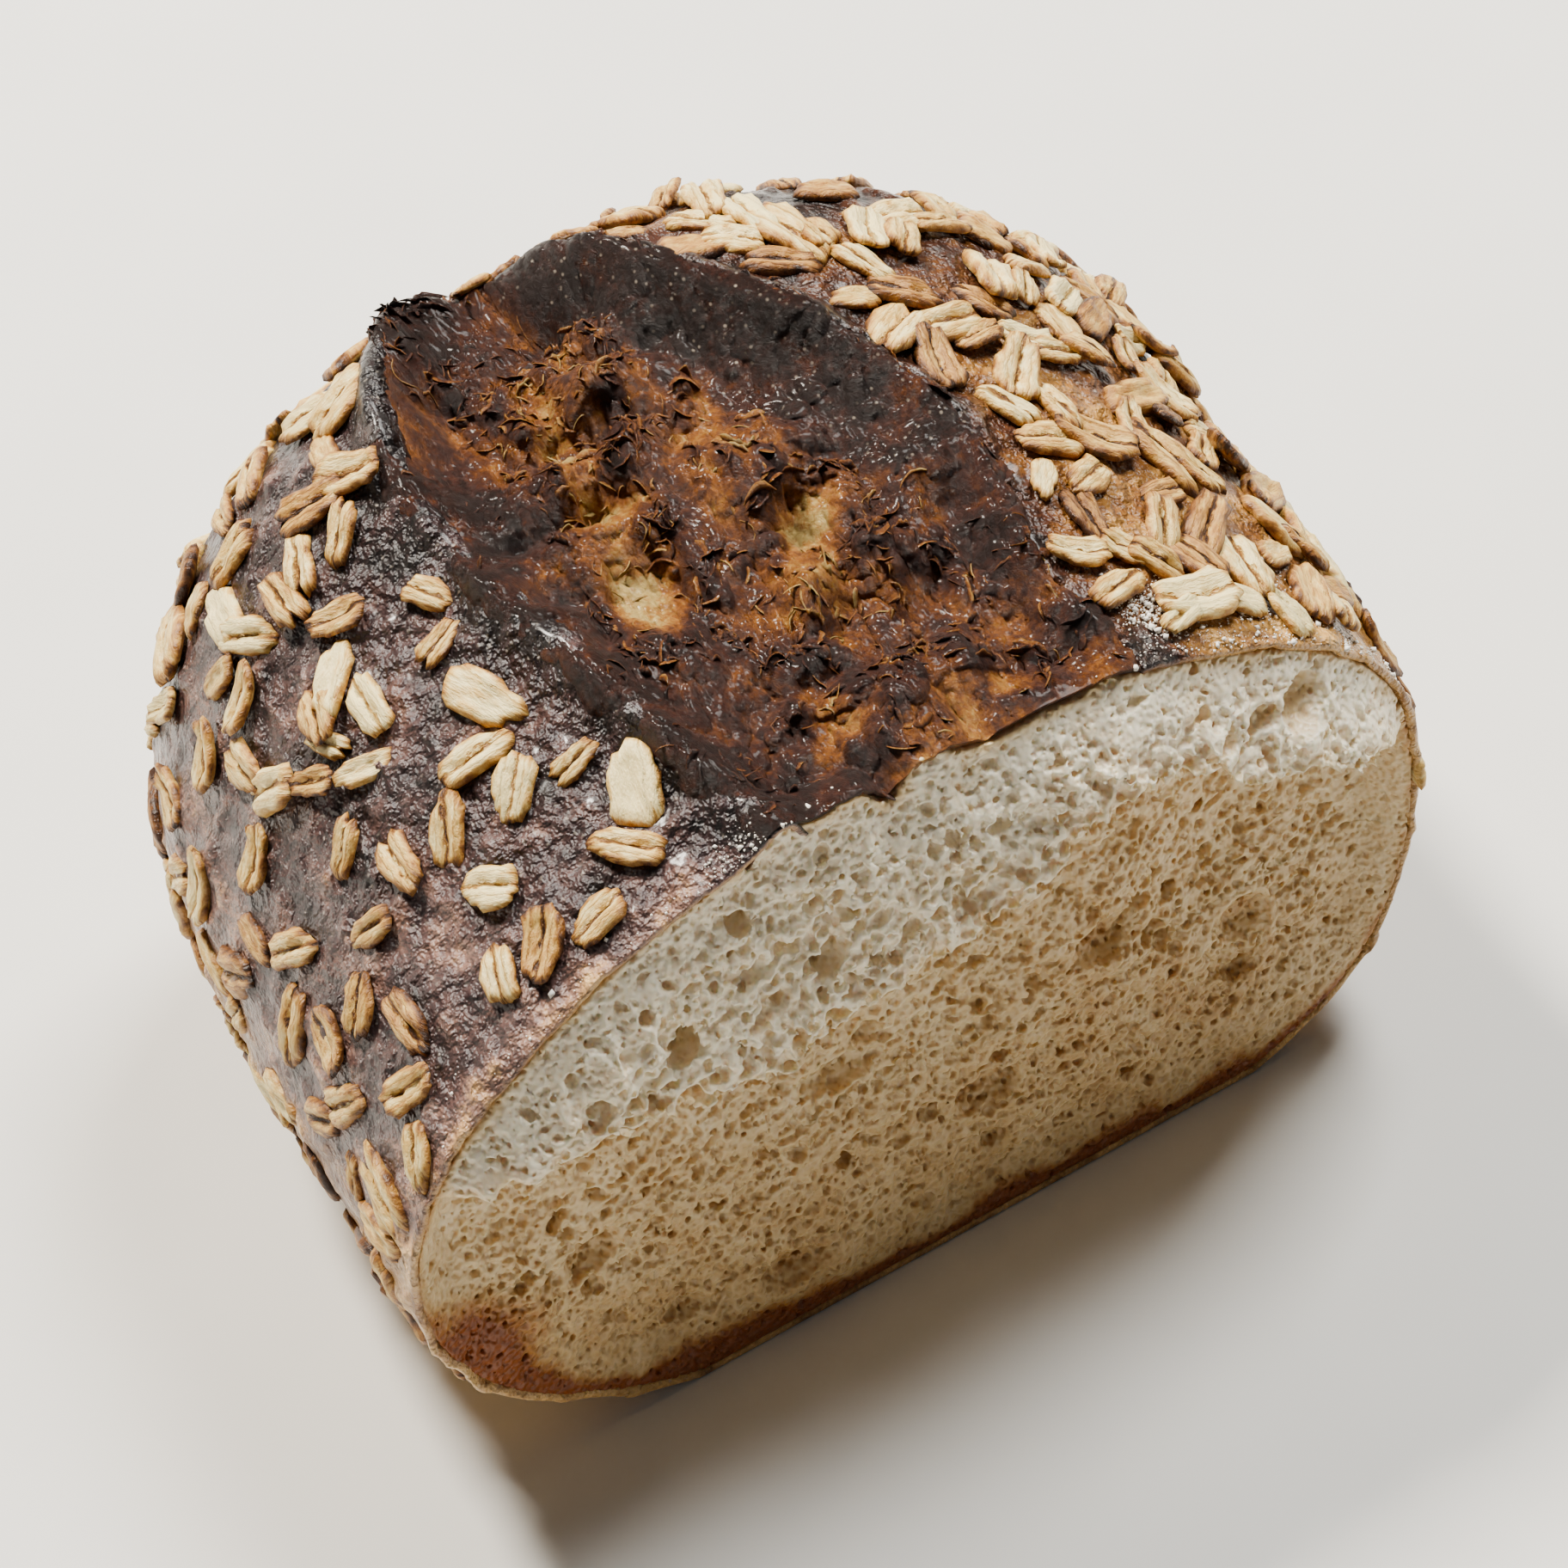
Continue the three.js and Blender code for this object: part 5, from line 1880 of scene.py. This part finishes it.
    def scatter_tree(self, holder: bpy.types.Collection, material: bpy.types.Material) -> bpy.types.NodeTree:
        """Build the tree that lays a flake on every seat.

        Args:
            holder: the flake shapes.
            material: their finish.
        Returns:
            A geometry node tree with a named size input and a fixed seed.
        """
        tree = bpy.data.node_groups.new("lay_flakes", "GeometryNodeTree")
        tree.interface.new_socket("Seats", in_out="INPUT", socket_type="NodeSocketGeometry")
        size = tree.interface.new_socket("Flake Size", in_out="INPUT", socket_type="NodeSocketFloat")
        size.default_value = 1.0
        tree.interface.new_socket("Flakes", in_out="OUTPUT", socket_type="NodeSocketGeometry")
        start = add(tree, "NodeGroupInput")
        each_alone = {"Collection": holder, "Separate Children": True, "Reset Children": True}
        shapes = add(tree, "GeometryNodeCollectionInfo", each_alone)
        pick = add(tree, "FunctionNodeRandomValue", {"Min": 0, "Max": 1, "Seed": self.seed}, data_type="INT")
        pick.inputs[4].default_value = 0
        pick.inputs[5].default_value = self.variants - 1
        turned = add(tree, "GeometryNodeInputNamedAttribute", {"Name": "turned"}, data_type="FLOAT_VECTOR")
        scale = add(tree, "GeometryNodeInputNamedAttribute", {"Name": "size"}, data_type="FLOAT")
        sizes = {0: scale.outputs["Attribute"], 1: start.outputs["Flake Size"]}
        product = add(tree, "ShaderNodeMath", sizes, operation="MULTIPLY")
        lay = add(
            tree,
            "GeometryNodeInstanceOnPoints",
            {
                "Points": start.outputs["Seats"],
                "Instance": shapes.outputs["Instances"],
                "Pick Instance": True,
                "Instance Index": pick.outputs[2],
                "Rotation": turned.outputs["Attribute"],
                "Scale": product.outputs[0],
            },
        )
        real = add(tree, "GeometryNodeRealizeInstances", {"Geometry": lay.outputs["Instances"]})
        dress = {"Geometry": real.outputs["Geometry"], "Material": material}
        dressed = add(tree, "GeometryNodeSetMaterial", dress)
        add(tree, "NodeGroupOutput", {"Flakes": dressed.outputs["Geometry"]})
        return tree


@dataclass(frozen=True)
class Studio:
    """A pale floor, soft light from above and behind, and the camera over the cut corner.

    Attributes:
        above: the way that is up in the picture.
        lamps: for each light its name, place and width in metres, power in watts and hex colour.
    """

    eye_mm: tuple[float, float, float] = (410.6, -189.8, 567.2)
    aim_mm: tuple[float, float, float] = (11.66, -1.02, 45.0)
    above: tuple[float, float, float] = (-0.66635, 0.37483, 0.64458)
    lens: float = 143.0
    lamps: tuple[tuple[str, tuple[float, float, float], float, float, str], ...] = (
        ("key", (-0.75, -0.25, 1.05), 0.2, 46.0, "#FFF6E8"),
        ("sky", (-0.35, 0.55, 1.15), 0.45, 31.0, "#FFFDF8"),
    )
    room_light: float = 0.085

    def build(self, finish: PlainFinish) -> None:
        """Make the floor, the lights and the camera.

        Args:
            finish: the floor's finish.
        """
        bpy.ops.mesh.primitive_plane_add(size=6.0)
        floor = bpy.context.object
        floor.name = "floor"
        floor.data.materials.append(finish.material())
        for lamp in self.lamps:
            self.hang(*lamp)
        world = bpy.data.worlds.new("soft_room")
        world.use_nodes = True
        world.node_tree.nodes["Background"].inputs["Color"].default_value = linear("#F4F6FA")
        world.node_tree.nodes["Background"].inputs["Strength"].default_value = self.room_light
        bpy.context.scene.world = world
        self.aim_camera()

    def aim_camera(self) -> None:
        """Set the camera over the cut corner and make it the scene's."""
        data = bpy.data.cameras.new("camera")
        data.lens = self.lens
        data.sensor_width = 36.0
        data.clip_start = 0.01
        eye, aim = Vector(self.eye_mm) * MM, Vector(self.aim_mm) * MM
        ahead = (aim - eye).normalized()
        right = ahead.cross(Vector(self.above)).normalized()
        axes = Matrix((right, right.cross(ahead), -ahead)).transposed()
        camera = bpy.data.objects.new("camera", data)
        camera.matrix_world = Matrix.Translation(eye) @ axes.to_4x4()
        bpy.context.scene.collection.objects.link(camera)
        bpy.context.scene.camera = camera

    def hang(self, name: str, place: tuple, size: float, power: float, colour: str) -> None:
        """Hang one soft square light that looks at the loaf.

        Args:
            name: its name.
            place: where it hangs, in metres.
            size: its width in metres.
            power: its power in watts.
            colour: its hex colour.
        """
        data = bpy.data.lights.new(name, "AREA")
        data.size = size
        data.energy = power
        data.color = linear(colour)[:3]
        lamp = bpy.data.objects.new(name, data)
        lamp.location = place
        lamp.rotation_euler = (Vector((0, 0, 0.04)) - Vector(place)).to_track_quat("-Z", "Y").to_euler()
        bpy.context.scene.collection.objects.link(lamp)


def main() -> None:
    """Build every piece in order, dress it and hang it on the loaf's body."""
    logging.basicConfig(level=logging.INFO, format="%(name)s: %(message)s")
    form = LoafForm()
    rim = CutRim(form)
    Studio().build(PlainFinish("matt_pale_floor", "#DEDDD9", "#DAD9D5", 40.0))
    crust = Crust(form, rim).build(BakedCrustFinish())
    log.info("crust: %d faces", len(crust.data.polygons))
    sheet = Bloom(form)
    bloom = sheet.build(TornBloomFinish())
    log.info("bloom: %d faces", len(bloom.data.polygons))
    shreds = Shreds(sheet).build(TornBloomFinish(name="crisp_torn_film"))
    flour = Dust(form).build(PlainFinish("dusted_flour", "#F4F0E8", "#E9E2D4", 0.5))
    crumb = Crumb(form, rim).build(CrumbFinish())
    oats = OatTopping(form).build(OatFinish())
    slots = {
        "crust": (crust, bloom, shreds, flour),
        "crumb": tuple(crumb),
        "oats": (oats,),
    }
    for slot, pieces in slots.items():
        for piece in pieces:
            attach(piece, BODY)
            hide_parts(NODE)


if __name__ == "__main__":
    main()
